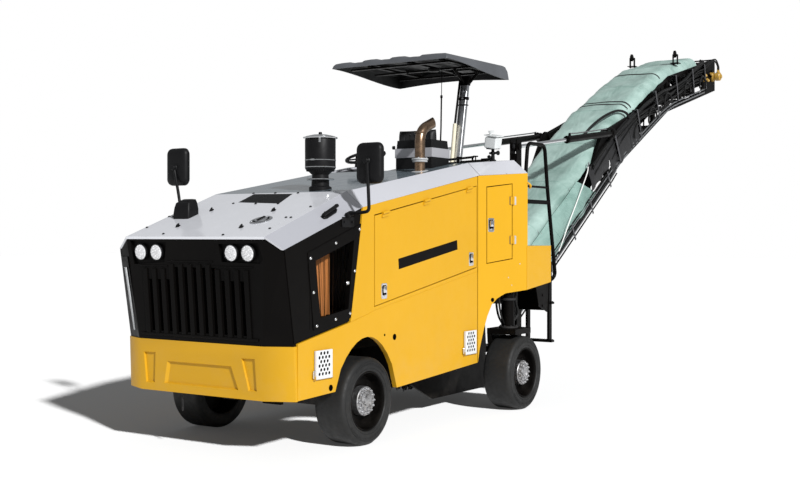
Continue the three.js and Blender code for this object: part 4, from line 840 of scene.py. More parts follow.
VENT = ((0.234, -0.224), (0.033, -0.234), (0.047, 0.170), (0.281, 0.223))
well = Build()
well.rings([[on_hood(x, y, -0.006) for x, y in VENT], [on_hood(x, y, 0.02) for x, y in VENT]])
seam = Build()
for x0, x1, y0, y1 in ((0.372, 0.560, 0.5870, 0.5900), (0.600, 0.815, 0.5800, 0.5830),
                       (0.560, 0.785, -0.6450, -0.6420),
                       (0.345, 0.535, -0.6480, -0.6450)):
    seam.rings([[on_hood(x, y, -0.004) for x, y in ((x0, y0), (x1, y0), (x1, y1), (x0, y1))],
                [on_hood(x, y, 0.02) for x, y in ((x0, y0), (x1, y0), (x1, y1), (x0, y1))]])


def paint_shade_on_bevels(shell):
    """The sloping side faces of a cover take its second material, a darker copy of the white paint: painted shade.
    """
    for face in shell.data.polygons:
        if abs(face.normal.y) > 0.3:
            face.material_index = 1


paint_shade_on_bevels(refined("hood", bevel=0.006, cuts=[well, seam], segments=3, smooth=40, extra=("white_paint_bevel_shade",)))

mesh_pad = Build()
mesh_pad.rings([[on_hood(x, y, -0.0058) for x, y in VENT], [on_hood(x, y, -0.0045) for x, y in VENT]])
for k in range(26):
    t = (k + 0.5) / 26
    a = Vector(VENT[0]).lerp(Vector(VENT[3]), t)
    b = Vector(VENT[1]).lerp(Vector(VENT[2]), t)
    mesh_pad.bar(on_hood(a.x, a.y, -0.002), on_hood(b.x, b.y, -0.002), 0.0018, 5)
for k in range(13):
    t = (k + 0.5) / 13
    a = Vector(VENT[0]).lerp(Vector(VENT[1]), t)
    b = Vector(VENT[3]).lerp(Vector(VENT[2]), t)
    mesh_pad.bar(on_hood(a.x, a.y, -0.001), on_hood(b.x, b.y, -0.001), 0.0018, 5)
piece("hood_vent_mesh", mesh_pad, ["wire_mesh"], "chassis", slot="black_plastic", weld=False)

hood_bits = Build()
for x, y in ((0.261, -0.247), (0.022, -0.247), (0.026, -0.021), (0.040, 0.214), (0.280, -0.006),
             (0.286, 0.219),
             (0.550, -0.646), (0.551, -0.601), (0.789, -0.641), (0.367, 0.588), (0.597, 0.590),
             (0.595, 0.544),
             (0.819, 0.581), (0.925, -0.334), (0.944, 0.262), (0.588, 0.385)):
    hood_bits.dome(on_hood(x, y, -0.0005), HOOD_OUT, 0.0105, 0.008)
for x, y, turn in ((0.414, -0.332, 0.5), (0.766, -0.343, 0.4), (0.440, 0.302, 0.3), (0.789, 0.295, 0.4)):
    at = facing(on_hood(x, y), (math.cos(turn) * 0.94, math.sin(turn), -math.cos(turn) * 0.333),
                HOOD_OUT.cross(Vector((math.cos(turn) * 0.94, math.sin(turn), -math.cos(turn) * 0.333))))
    pad(hood_bits, at, 0.046, 0.030, 0.010, [(0, -0.0005), (0, 0.004), (0.002, 0.006)])
    pad(hood_bits, at, 0.052, 0.012, 0.005, [(0.002, 0.006), (0, 0.010), (0, 0.015), (0.002, 0.018)])
piece("hood_fastenings", hood_bits, ["black_plastic"], "chassis")

cap = Build()
cap.lathe([(0.084, -0.0005), (0.084, 0.004), (0.080, 0.007), (0.064, 0.008), (0.062, 0.004), (0.050, 0.003),
           (0.0495, 0.010), (0.046, 0.013), (0.030, 0.014), (0, 0.0145)], on_hood(0.65, 0.362), HOOD_OUT, 48)
for k in range(3):
    a = math.radians(20 + 120 * k)
    across = HOOD_OUT.orthogonal().normalized()
    other = HOOD_OUT.cross(across)
    direction = across * math.cos(a) + other * math.sin(a)
    spot = on_hood(0.65, 0.362, 0.006) + direction * 0.071
    cap.dome(spot, HOOD_OUT, 0.006, 0.005)
cap.slab([on_hood(0.690, 0.356, 0.014), on_hood(0.690, 0.368, 0.014), on_hood(0.610, 0.368, 0.014),
          on_hood(0.610, 0.356, 0.014)], tuple(HOOD_OUT * 0.007), 1)
piece("hood_filler_cap", cap, ["bare_steel", "black_plastic"], "chassis")
gasket = Build()
gasket.lathe([(0.0615, 0.0035), (0.0615, 0.0052), (0.0505, 0.0052), (0.0505, 0.0035)], on_hood(0.65, 0.362),
             HOOD_OUT, 48)
piece("hood_filler_ring", gasket, ["dark"], "chassis", slot="black_plastic")

# the black handle on the bevel
BEVEL_OUT = Vector((0.3, 0.6, 0.74))


def on_bevel(x, t, lift=0.0):
    """t runs from the eave, 0, to the crest, 1."""
    low = Vector((x, 0.790 + (0.926 - x) * 0.0109, height_on(EAVE, x)))
    high = Vector((x, 0.664 - (0.979 - x) * 0.0094, height_on(CREST, x)))
    return low.lerp(high, t) + BEVEL_OUT.normalized() * lift


handle = Build()
along = (on_bevel(0.24, 0.50) - on_bevel(0.42, 0.44)).normalized()
for x, t in ((0.265, 0.50), (0.405, 0.44)):
    at = on_bevel(x, t, 0.004)
    handle.lathe([(0.019, -0.004), (0.019, 0.006), (0.011, 0.012), (0.011, 0.036), (0.014, 0.040),
                  (0.011, 0.046),
                  (0, 0.047)], at, BEVEL_OUT, 20)
handle.tube([on_bevel(0.245, 0.51, 0.036), on_bevel(0.425, 0.43, 0.036)], 0.0135, 16)
base = on_bevel(0.335, 0.47, 0.008)
side_frame = facing(base, along, BEVEL_OUT.cross(along))
pad(handle, side_frame, 0.150, 0.050, 0.014, [(0, -0.010), (0, 0.004), (0.003, 0.008)])
piece("bevel_handle_left", handle, ["black_plastic"], "chassis")

# ------------------------------------------------------------------ rear hood
paint_shade_on_bevels(refined("rear_hood", bevel=0.004, extra=("white_paint_rear_bevel_shade",), smooth=40))
deck = Build()
for y0, y1, x0, x1, lift in ((0.455, 0.492, -1.62, -2.20, 0.012), (0.500, 0.560, -1.95, -2.29, 0.018)):
    z0, z1 = height_on(CREST, x0) + 0.0005, height_on(CREST, x1) + 0.0005
    middle = -1.82
    if x0 > middle > x1:
        zm = height_on(CREST, middle) + 0.0005
        for (xa, za), (xb, zb) in (((x0, z0), (middle, zm)), ((middle, zm), (x1, z1))):
            deck.slab([(xa, y0, za), (xa, y1, za), (xb, y1, zb), (xb, y0, zb)], (0, 0, lift))
    else:
        deck.slab([(x0, y0, z0), (x0, y1, z0), (x1, y1, z1), (x1, y0, z1)], (0, 0, lift))
deck.tube([(-1.66, 0.474, height_on(CREST, -1.66) + 0.045), (-2.24, 0.474, height_on(CREST, -2.24) + 0.045)],
          0.011, 12)
for x in (-1.68, -1.95, -2.22):
    deck.bar((x, 0.474, height_on(CREST, x) + 0.005), (x, 0.474, height_on(CREST, x) + 0.045), 0.009, 10)
for x in (-1.86, -2.16):
    z = height_on(CREST, x)
    deck.bar((x, 0.540, z), (x, 0.540, z + 0.052), 0.006, 10)
    deck.bar((x - 0.022, 0.552, z + 0.052), (x + 0.022, 0.528, z + 0.052), 0.0065, 10)
    deck.lathe([(0.020, 0), (0.020, 0.006), (0.014, 0.010)], (x, 0.540, z + 0.001), (0, 0, 1), 18)
# the cable gland bars at the rear corner
for x in (-2.16, -2.20, -2.25):
    z = height_on(CREST, x)
    deck.bar((x, 0.60, z + 0.016), (x, 0.66, z + 0.016), 0.014, 12)
piece("deck_rails", deck, ["black_paint"], "chassis", bevel=0.0015)
seams = Build()
for x, x2 in ((-1.756, -1.820), (-2.060, -2.090)):
    low = Vector((x, 0.806 if x > -1.8 else 0.806 + (1.756 + x) * -0.3566, height_on(EAVE, x)))
    high = Vector((x2, 0.655 if x2 > -1.83 else 0.655 + (-1.82 - x2) * 0.427, height_on(CREST, x2)))
    out = Vector((0, 0.62, 0.78))
    seams.slab([low + out * 0.0006, high + out * 0.0006, high + out * 0.0006 + Vector((-0.004, 0, 0)),
                low + out * 0.0006 + Vector((-0.004, 0, 0))], out * 0.001)
pair("bevel_seams", seams, ["dark"], "chassis", slot="black_paint")

# ------------------------------------------------------------------ doors, latches and small fittings
STRIPE = ((-0.472, 1.375), (-1.378, 1.517), (-1.386, 1.437), (-0.479, 1.293))


def latch(build, matrix, width=0.078, height=0.118):
    pad(build, matrix, width, height, 0.012, [(0, -0.0005), (0, 0.003), (0.002, 0.0045)])
    pad(build, matrix @ Matrix.Translation((0, 0.006, 0.0045)), width * 0.72, height * 0.66, 0.010,
        [(0, 0), (0.001, 0.0012)], 1)
    pad(build, matrix @ Matrix.Translation((0, 0.012, 0.0055)), width * 0.56, height * 0.46, 0.010,
        [(0.001, 0), (0, 0.006), (0.003, 0.011), (0.007, 0.0125)])
    at = matrix @ Vector((0, -height * 0.30, 0.004))
    out = matrix.to_3x3() @ Vector((0, 0, 1))
    build.lathe([(0.0085, 0), (0.0085, 0.006), (0.006, 0.008), (0, 0.008)], at, out, 18)
    for u in (-1, 1):
        for v in (-1, 1):
            build.dome(matrix @ Vector((u * width * 0.40, v * height * 0.42, 0.004)), out, 0.0042, 0.003)


door_bits = Build()
for x, z in ((-0.273, 1.133), (-1.617, 1.352)):
    latch(door_bits, facing((x, 0.7996, z), SIDE_ALONG, UP))
pair("side_door_latches", door_bits, ["chrome", "dark"], "side_door", slot="bare_steel")
stripe = Build()
stripe.slab([(x, 0.7997, z) for x, z in STRIPE], (0, 0.0014, 0))
pair("side_door_stripe", stripe, ["black_paint"], "side_door", bevel=0.0004)
small_latch = Build()
latch(small_latch, facing(on_flare(0.153, -0.0004, 1.647), FLARE_ALONG, UP), 0.072, 0.122)
pair("rear_door_latch", small_latch, ["chrome", "dark"], "rear_door", slot="bare_steel")
flare_out = Vector((math.sin(FLARE), math.cos(FLARE), 0))
hinge_plates = Build()
for z in (1.515, 1.865):
    at = facing(on_flare(0.386, -0.0004, z), FLARE_ALONG, UP)
    pad(hinge_plates, at, 0.026, 0.074, 0.004, [(0, 0), (0, 0.0035), (0.001, 0.0045)])
    for v in (-0.022, 0.022):
        hinge_plates.dome(at @ Vector((0, v, 0.004)), flare_out, 0.0045, 0.003)
pair("rear_door_hinge_plates", hinge_plates, ["band"], "rear_door", slot="bare_steel")
frame_plates = Build()
for z in (1.515, 1.865):
    at = facing(on_flare(0.437, -0.0004, z), FLARE_ALONG, UP)
    pad(frame_plates, at, 0.028, 0.074, 0.004, [(0, 0), (0, 0.0035), (0.001, 0.0045)])
    for v in (-0.022, 0.022):
        frame_plates.dome(at @ Vector((0, v, 0.004)), flare_out, 0.0045, 0.003)
for s, z, r in ((0.36, 1.180, 0.006), (0.50, 1.30, 0.006), (0.40, 1.11, 0.005)):
    frame_plates.dome(on_flare(s, -0.0004, z), flare_out, r, 0.003)
pair("rear_panel_fittings", frame_plates, ["clip"], "chassis", slot="bare_steel")

# the crease under the doors, and the doors themselves
crease = Build()
line = ((0.156, 0.926), (-0.165, 0.996), (-0.930, 1.118), (-1.731, 1.244))
for (xa, za), (xb, zb) in zip(line, line[1:]):
    crease.slab([(xa, 0.7975, za), (xb, 0.7975, zb), (xb, 0.7975, zb - 0.003), (xa, 0.7975, za - 0.003)],
                (0, 0.02, 0))
for side in ("left", "right"):
    cut_here = crease if side == "left" else mirror_build(crease)
    refined(f"side_panel_{side}", bevel=0.0035, cuts=[cut_here])
    refined(f"rear_panel_{side}", bevel=0.005, segments=3)
    for name in (f"side_door_{side}", f"rear_door_{side}"):
        refined(name, bevel=0.0028)

# a lifting eye by the corner box
corner = Build()
corner.lathe([(0.026, -0.004), (0.026, 0.010), (0.018, 0.013), (0.018, -0.004)], (-2.30, 0.968, 2.012),
             (-0.4, 0.9, 0), 24)
corner.tube([(-2.292, 0.968, 2.030), (-2.300, 1.005, 2.030), (-2.322, 1.022, 2.005), (-2.335, 1.005, 1.985)],
            0.010, 12,
            corner=0.02)
pair("corner_lifting_eye", corner, ["yellow_paint"], "chassis")

# ------------------------------------------------------------------ folding steps
for name, x, z in (("front", 0.510, 0.560), ("rear", -1.583, 0.546)):
    holes = Build()
    dark = Build()
    for row in range(6):
        for column in range(4 - row % 2):
            u = (column - 1.5 + 0.5 * (row % 2)) * 0.038
            v = 0.024 + row * 0.0290
            holes.lathe([(0.0125, -0.03), (0.0125, 0.03)], (x + u, 0.814, z + v), (0, 1, 0), 14)
            dark.lathe([(0.0123, -0.006), (0.0123, 0.005)], (x + u, 0.814, z + v), (0, 1, 0), 14)
    refined(f"folding_step_{name}", "step_white", bevel=0.003, cuts=[holes])
    # Black plugs fill the step's holes: painted shade of the open holes.
    piece(f"folding_step_hole_shade_{name}", dark, ["black_paint"], f"folding_step_{name}", slot="bare_steel")
    hinge = Build()
    hinge.tube([(x + 0.100, 0.812, z + 0.002), (x + 0.118, 0.814, z + 0.002), (x + 0.118, 0.814, z + 0.050),
                (x + 0.100, 0.814, z + 0.050)], 0.0055, 10, corner=0.01)
    piece(f"folding_step_grip_{name}", hinge, ["chrome"], f"folding_step_{name}", slot="bare_steel")
    ears = Build()
    for u in (-0.104, 0.096):
        ears.slab([(x + u, 0.7996, z - 0.020), (x + u, 0.7996, z + 0.018), (x + u, 0.822, z + 0.010),
                   (x + u, 0.824, z - 0.008), (x + u, 0.816, z - 0.018)], (0.008, 0, 0))
    piece(f"folding_step_ears_{name}", ears, ["gold_paint"], "chassis", bevel=0.001)

# ------------------------------------------------------------------ air pre-cleaner
z = height_on(CREST, -0.130)
body = Build()
centre = (-0.130, 0.300, z)
body.lathe([(0.088, -0.010), (0.088, 0.016), (0.080, 0.022), (0.070, 0.026), (0.068, 0.070), (0.074, 0.074)],
           centre,
           (0, 0, 1), 56)
body.lathe([(0.066, 0.084), (0.064, 0.112), (0.070, 0.118), (0.090, 0.136), (0.098, 0.142), (0.110, 0.150),
            (0.1175, 0.158), (0.119, 0.170), (0.1195, 0.385), (0.116, 0.394), (0.02, 0.396)], centre,
           (0, 0, 1), 72)
for k in range(36):
    a = 2 * math.pi * k / 36
    direction = Vector((math.cos(a), math.sin(a), 0))
    spot = Vector(centre) + direction * 0.1035 + Vector((0, 0, 0.1462))
    body.placed_box(facing(spot, direction.cross(Vector((0, 0, 1))), (0, 0, 1)), 0.006, 0.012, 0.012)
body.lathe([(0.014, 0.426), (0.014, 0.438), (0.010, 0.446), (0, 0.447)], centre, (0, 0, 1), 20)
piece("precleaner_body", body, ["black_plastic"], "chassis", replaces=["air_precleaner"], smooth=38)
bright = Build()
bright.lathe([(0.104, 0.072), (0.108, 0.075), (0.108, 0.081), (0.104, 0.084), (0.06, 0.084)], centre,
             (0, 0, 1), 56)
bright.lathe([(0.118, 0.392), (0.1335, 0.395), (0.1345, 0.399), (0.1335, 0.4045), (0.120, 0.4075),
              (0.112, 0.412),
              (0.060, 0.424), (0.02, 0.428), (0, 0.4285)], centre, (0, 0, 1), 72)
for level in (0.172, 0.226):
    bright.lathe([(0.1190, level - 0.004), (0.1210, level - 0.003), (0.1210, level + 0.003),
                  (0.1190, level + 0.004)],
                 centre, (0, 0, 1), 72, caps=False)
for k in range(3):
    a = math.radians(35 + 120 * k)
    direction = Vector((math.cos(a), math.sin(a), 0))
    spot = Vector(centre) + direction * 0.122 + Vector((0, 0, 0.378))
    bright.placed_box(facing(spot, direction.cross(Vector((0, 0, 1))), (0, 0, 1)), 0.016, 0.040, 0.005)
spot = Vector(centre) + Vector((0.121, 0.02, 0.226))
bright.placed_box(facing(spot, (0, 1, 0), (0, 0, 1)), 0.034, 0.012, 0.012)
bright.bolt(Vector(centre) + Vector((0.098, -0.05, 0.079)), (0, 0, 1), 0.006, 0.01)
piece("precleaner_bright_parts", bright, ["chrome"], "chassis", slot="bare_steel", smooth=38)

# ------------------------------------------------------------------ exhaust
z = height_on(CREST, -1.250)
path = [Vector(p) for p in rounded([(-1.250, 0.510, z - 0.012), (-1.250, 0.510, z + 0.345),
                                    (-1.472, 0.510, z + 0.432)],
                                  0.16, 14)]
path = [path[0].lerp(path[1], t / 8) for t in range(8)] + path[1:]
exhaust = Build()
rings = []
for shell in (0.044, 0.0405):
    row = []
    side = Vector((0, 1, 0))
    for i, p in enumerate(path):
        ahead = (path[min(i + 1, len(path) - 1)] - path[max(i - 1, 0)]).normalized()
        other = ahead.cross(side)
        ring = []
        for k in range(40):
            a = 2 * math.pi * k / 40
            offset = side * math.cos(a) + other * math.sin(a)
            shear = 0.0
            if i == len(path) - 1:
                shear = 0.046 * offset.dot(Vector((0.35, 0.85, -0.25)))
            ring.append(p + offset * shell - ahead * shear)
        row.append(ring)
    rings.append(row if shell > 0.042 else list(reversed(row)))
exhaust.rings(rings[0] + rings[1], loop=True)
for k in range(len(exhaust.faces) // 2, len(exhaust.faces) - 40):
    exhaust.looks[k] = 1
for lift in (0.150, 0.205, 0.330):
    exhaust.lathe([(0.0438, lift - 0.004), (0.0458, lift), (0.0438, lift + 0.004)], (-1.250, 0.510, z),
                  (0, 0, 1), 40,
                  caps=False)
piece("exhaust_tube", exhaust, ["hot_steel", "dark"], "chassis", replaces=["exhaust_pipe"], smooth=40)
flange = Build()
flange.lathe([(0.046, 0.094), (0.068, 0.094), (0.070, 0.097), (0.070, 0.106), (0.068, 0.109), (0.046, 0.109)],
             (-1.250, 0.510, z), (0, 0, 1), 40)
flange.lathe([(0.046, 0.078), (0.064, 0.078), (0.065, 0.081), (0.064, 0.091), (0.046, 0.091)],
             (-1.250, 0.510, z),
             (0, 0, 1), 40)
flange.lathe([(0.072, 0.0), (0.072, 0.006), (0.050, 0.010)], (-1.250, 0.510, z - 0.004), (0.1646, 0, 0.9864),
             40)
for k in range(3):
    a = math.radians(20 + 120 * k)
    flange.bolt((-1.250 + 0.057 * math.cos(a), 0.510 + 0.057 * math.sin(a), z + 0.109), (0, 0, 1), 0.0065,
                0.008)
piece("exhaust_flange", flange, ["clip"], "chassis", slot="hot_steel")

# ------------------------------------------------------------------ mirrors
def mirror_head(name, glass_x, cy, cz, width, height, arm, knob, node):
    """A rounded shell facing forwards with its glass facing back."""
    shell = Build()
    rings = []
    for inset, depth in ((0.004, 0.0), (0.0, 0.006), (0.0, 0.020), (0.004, 0.036), (0.016, 0.048),
                         (0.040, 0.056),
                         (0.062, 0.0585)):
        rings.append([(glass_x + depth, cy + u, cz + v) for u, v in rounded_rect(
            width - 2 * inset, height - 2 * inset, max(0.050 - inset * 0.5, 0.012), 8)])
    shell.rings(rings)
    shell.lathe([(0.027, 0), (0.027, 0.010), (0.021, 0.016), (0.020, 0.030), (0.016, 0.034), (0, 0.034)],
                (glass_x + 0.052, cy, knob), (1, 0, 0), 28)
    arm(shell)
    piece(f"mirror_shell_{name}", shell, ["black_plastic"], "chassis", replaces=[node], smooth=40)
    glass = Build()
    glass.rings([[(glass_x - 0.0004, cy + u, cz + v) for u,
                  v in rounded_rect(width - 0.018, height - 0.018, 0.042, 8)],
                 [(glass_x - 0.0018, cy + u, cz + v) for u,
                  v in rounded_rect(width - 0.022, height - 0.022, 0.040, 8)]])
    piece(f"mirror_glass_{name}", glass, ["mirror"], "chassis", slot="black_plastic")


def near_arm(build):
    base = height_on(EAVE, 0.18) + 0.010
    build.tube([(0.206, 0.818, base), (0.206, 0.925, base + 0.003), (0.212, 0.998, base + 0.012),
                (0.226, 0.990, base + 0.385)], 0.0125, 16, corner=0.06)
    at = facing((0.190, 0.7925, 1.655), SIDE_ALONG, UP)
    pad(build, at, 0.150, 0.075, 0.010, [(0, 0), (0, 0.006), (0.002, 0.008)])
    pad(build, facing((0.200, 0.800, 1.712), (-1, 0, 0.33), UP), 0.070, 0.034, 0.008,
        [(0, 0), (0, 0.028), (0.004, 0.033)])
    for u in (-0.05, 0.05):
        build.bolt(at @ Vector((u, 0.0, 0.008)), (0, 1, 0), 0.008, 0.006)


def far_arm(build):
    base = height_on(CREST, 0.430)
    build.tube([(0.530, -0.545, base + 0.01), (0.510, -0.585, base + 0.13), (0.480, -0.650, base + 0.28),
                (0.474, -0.668, base + 0.34)], 0.0115, 16, corner=0.10)
    rings = []
    for inset, lift in ((0.0, -0.030), (0.0, 0.012), (0.006, 0.060), (0.014, 0.090), (0.030, 0.098)):
        rings.append([(0.545 + u, -0.475 + v, base + lift - 0.016 - u * 0.3545) for u, v in rounded_rect(
            0.120 - 2 * inset, 0.165 - 2 * inset, 0.016)])
    build.rings(rings)


mirror_head("left", 0.160, 0.984, 2.080, 0.224, 0.298, near_arm, 2.095, "mirror_left")
mirror_head("right", 0.412, -0.665, 2.092, 0.214, 0.292, far_arm, 2.085, "mirror_right")

# ------------------------------------------------------------------ control box on its bracket
z = height_on(CREST, -2.15)
stand = Build()
stand.lathe([(0.030, 0), (0.030, 0.012), (0.018, 0.016), (0.016, 0.060), (0.026, 0.066), (0.026, 0.082),
             (0.014, 0.088),
             (0.014, 0.118)], (-2.150, 0.725, z), (0, 0, 1), 28)
stand.bar((-2.150, 0.690, z + 0.074), (-2.150, 0.770, z + 0.074), 0.010, 12)
stand.lathe([(0.018, 0), (0.021, 0.006), (0.021, 0.016), (0.016, 0.020), (0, 0.020)],
            (-2.150, 0.768, z + 0.074), (0, 1, 0), 20)
stand.bar((-2.112, 0.725, z + 0.036), (-2.080, 0.725, z + 0.036), 0.008, 10)
stand.lathe([(0.014, 0), (0.017, 0.006), (0.014, 0.016), (0, 0.018)], (-2.084, 0.725, z + 0.036), (1, 0, 0),
            20)
stand.placed_box(facing((-2.150, 0.725, z + 0.114), (1, 0, 0), (0, 1, 0)), 0.090, 0.090, 0.008)
piece("control_box_stand", stand, ["black_plastic"], "chassis")
turned = Matrix.Translation((-2.150, 0.728, z + 0.172)) @ Matrix.Rotation(math.radians(-10), 4, "X") \
    @ Matrix.Rotation(math.radians(6), 4, "Y")
case = Build()
rings = []
for inset, lift in ((0.010, -0.055), (0.002, -0.050), (0.0, -0.044), (0.0, 0.036), (0.004, 0.044),
                    (0.014, 0.050)):
    rings.append([turned @ Vector((u, v, lift)) for u,
                  v in rounded_rect(0.118 - 2 * inset, 0.118 - 2 * inset, 0.012)])
case.rings(rings)
case.placed_box(turned @ Matrix.Translation((0, 0, 0.060)), 0.130, 0.130, 0.010)
case.bar(turned @ Vector((0.03, -0.02, 0.062)), turned @ Vector((0.03, -0.02, 0.090)), 0.010, 14)
case.placed_box(turned @ Matrix.Translation((0.020, -0.020, 0.094)), 0.070, 0.022, 0.016)
for u in (-0.042, 0.042):
    for v in (-0.038, 0.030):
        case.dome(turned @ Vector((u, 0.0588, v)), turned.to_3x3() @ Vector((0, 1, 0)), 0.005, 0.003)
piece("control_box_case", case, ["light_grey_plastic"], "chassis", replaces=["control_box"], bevel=0.002)

# ------------------------------------------------------------------ platform: console, seat and wheel
console = Build()
BANDS = ((2.180, 2.236, 0.000, 1), (2.237, 2.318, 0.006, 0), (2.319, 2.392, -0.004, 1))
for low, high, grow, look in BANDS:
    slope = 0.035 if look == 1 and low > 2.3 else 0.0
    outer = [(-1.756 - grow, 0.124 - grow), (-1.464 + grow, 0.124 - grow), (-1.464 + grow, 0.496 + grow),
             (-1.756 - grow, 0.496 + grow)]
    foot = [(x, y, low if low > 2.2 else height_on(CREST, x) + 0.001) for x, y in outer]
    shift = (-1.61, 0.31)
    top = [(shift[0] + (x - shift[0]) * (1 - slope), shift[1] + (y - shift[1]) * (1 - slope), high) for x,
           y in outer]
    console.rings([foot, top], look)
for k in range(6):
    x = -1.70 + 0.035 * k
    console.lathe([(0.010, 0), (0.010, 0.014), (0.007, 0.018), (0, 0.018)],
                  (x, 0.30 + 0.06 * (k % 2), 2.390), (0, 0, 1),
                  14, 1)
console.lathe([(0.016, 0), (0.016, 0.020), (0.012, 0.026), (0, 0.026)], (-1.462, 0.118, 2.33),
              (0.4, -0.9, 0), 18, 1)
for k in range(3):
    console.bar((-1.58, 0.20 + 0.05 * k, 2.390), (-1.575, 0.20 + 0.05 * k, 2.440), 0.005, 8, 1)
    console.lathe([(0.010, 0), (0.013, 0.008), (0.010, 0.020), (0, 0.022)], (-1.575, 0.20 + 0.05 * k, 2.436),
                  (0, 0, 1), 14, 1)
piece("console_bands", console, ["console_silver", "black_plastic"], "chassis", slot="grey_plastic",
      replaces=["console"], bevel=0.006, weld=False)

wheel_at = Vector((-1.560, -0.270, 2.270))
tilt = Vector((math.sin(math.radians(20)), 0, math.cos(math.radians(20))))
side_axis, up_axis = Vector((0, 1, 0)), tilt.cross(Vector((0, 1, 0)))
steering = Build()
rings = []
for k in range(72):
    a = 2 * math.pi * k / 72
    out = side_axis * math.cos(a) + up_axis * math.sin(a)
    grip = 0.0135 + 0.0008 * math.cos(a * 24)
    rings.append([wheel_at + out * 0.176 + (out * math.cos(b) + tilt * math.sin(b)) * grip
                  for b in (2 * math.pi * q / 14 for q in range(14))])
steering.rings(rings, loop=True)
for k in range(3):
    a = 2 * math.pi * k / 3 + math.pi / 2
    out = side_axis * math.cos(a) + up_axis * math.sin(a)
    across = out.cross(tilt)
    steering.rings([[wheel_at + out * r + across * (w * u) + tilt * (lift + v) for u, v in (
        (-1, -0.004), (1, -0.004), (1, 0.004), (-1, 0.004))] for r, w, lift in (
        (0.030, 0.020, -0.010), (0.090, 0.014, -0.006), (0.168, 0.011, 0.0))])
steering.lathe([(0.026, -0.040), (0.040, -0.034), (0.044, -0.010), (0.042, 0.006), (0.034, 0.013),
                (0.016, 0.0155),
                (0, 0.016)], wheel_at, tilt, 36)
piece("steering_wheel_rim", steering, ["black_plastic"], "steering_wheel", replaces=["steering_wheel"],
      smooth=45)

SEAT_Y = -0.270


def cushion(name, half_w, length, thick, placed, node, channels, crown=0.018):
    """A crowned foam block: its sides pull in between the corners and its top is sewn in channels."""
    count_u, count_v = 44, 40
    shape = Build()

    def surface(u, v, top):
        # superellipse edge: rounded corners in plan
        pu, pv = math.copysign(abs(u) ** 0.8, u), math.copysign(abs(v) ** 0.8, v)
        pull = 1 - 0.012 * (1 - abs(u) ** 2) * abs(v) ** 6
        pull_side = 1 - 0.012 * (1 - abs(v) ** 2) * abs(u) ** 6
        x, y = pv * length / 2 * pull, pu * half_w * pull_side
        edge = (1 - abs(u) ** 7) * (1 - abs(v) ** 7)
        dome = max(edge, 0.0) ** 0.33
        lift = thick / 2 * dome
        if top:
            lift += crown * (1 - u * u) * (1 - v * v)
            for line, along_u in channels:
                t = (u if along_u else v) - line
                lift -= 0.009 * math.exp(-(t / 0.030) ** 2) * dome
            wing = max(0.0, abs(u) - 0.62) / 0.38
            lift += 0.014 * math.sin(math.pi * min(wing, 1.0)) * dome
        return (x, y, lift if top else -lift)

    grid = {}
    points = []
    for top in (True, False):
        for i in range(count_u + 1):
            for j in range(count_v + 1):
                u, v = -1 + 2 * i / count_u, -1 + 2 * j / count_v
                grid[top, i, j] = len(points)
                points.append(placed @ Vector(surface(u, v, top)))
    faces = []
    for top in (True, False):
        for i in range(count_u):
            for j in range(count_v):
                q = (grid[top, i, j], grid[top, i + 1, j], grid[top, i + 1, j + 1], grid[top, i, j + 1])
                faces.append(q if top else tuple(reversed(q)))
    shape.mesh(points, faces)
    obj = piece(name, shape, ["black_vinyl"], "chassis", replaces=[node], smooth=70)
    piping = Build()
    loop_points = [placed @ Vector(surface(*uv, True)) for uv in
                   [(-1, -1 + 2 * j / 40) for j in range(40)] + [(-1 + 2 * i / 40, 1) for i in range(40)]
                   + [(1, 1 - 2 * j / 40) for j in range(40)] + [(1 - 2 * i / 40, -1) for i in range(40)]]
    middle = sum(loop_points, Vector()) / len(loop_points)
    rings = []
    for i, p in enumerate(loop_points):
        ahead = (loop_points[(i + 1) % len(loop_points)] - loop_points[i - 1]).normalized()
        out = (p - middle)
        out = (out - ahead * out.dot(ahead)).normalized()
        other = ahead.cross(out)
        rings.append([p + (out * math.cos(b) + other * math.sin(b)) * 0.0042
                      for b in (2 * math.pi * q / 8 for q in range(8))])
    piping.rings(rings, loop=True)
    piece(f"{name}_piping", piping, ["black_plastic"], "chassis", slot="black_vinyl", smooth=60)
    return obj


cushion("seat_cushion_soft", 0.212, 0.425, 0.104,
        Matrix.Translation((-2.190, SEAT_Y, 1.890)) @ Matrix.Rotation(math.radians(-4), 4, "Y"),
        "seat_cushion", [(-0.45, True), (0.45, True), (0.1, False), (-0.35, False)])
back_frame = Matrix.Translation((-2.452, SEAT_Y, 2.208)) @ Matrix.Rotation(math.radians(90), 4, "Y")
cushion("seat_back_soft", 0.205, 0.735, 0.094, back_frame, "seat_back",
        [(-0.5, True), (0.5, True), (-0.15, False), (0.25, False), (0.55, False)], 0.012)

# ------------------------------------------------------------------ canopy
CX0, CX1, CY0, CY1, CTOP = -2.870, -1.700, -0.750, 0.510, 3.175
SEGMENTS = ((0.19, 1), (0.145, 0), (0.155, 1), (0.150, 0), (0.160, 1), (0.165, 0), (0.295, 1))


def canopy_ribs():
    """Stations across the roof with their lift: raised and lowered bands with short slopes between."""
    stations = []
    y = CY0
    for i, (width, high) in enumerate(SEGMENTS):
        lift = 0.0 if high else -0.013
        stations.append((y + (0.012 if i else 0.0), lift))
        stations.append((y + width / 2, lift + 0.002))
        stations.append((y + width - (0.012 if i < len(SEGMENTS) - 1 else 0.0), lift))
        y += width
    return stations


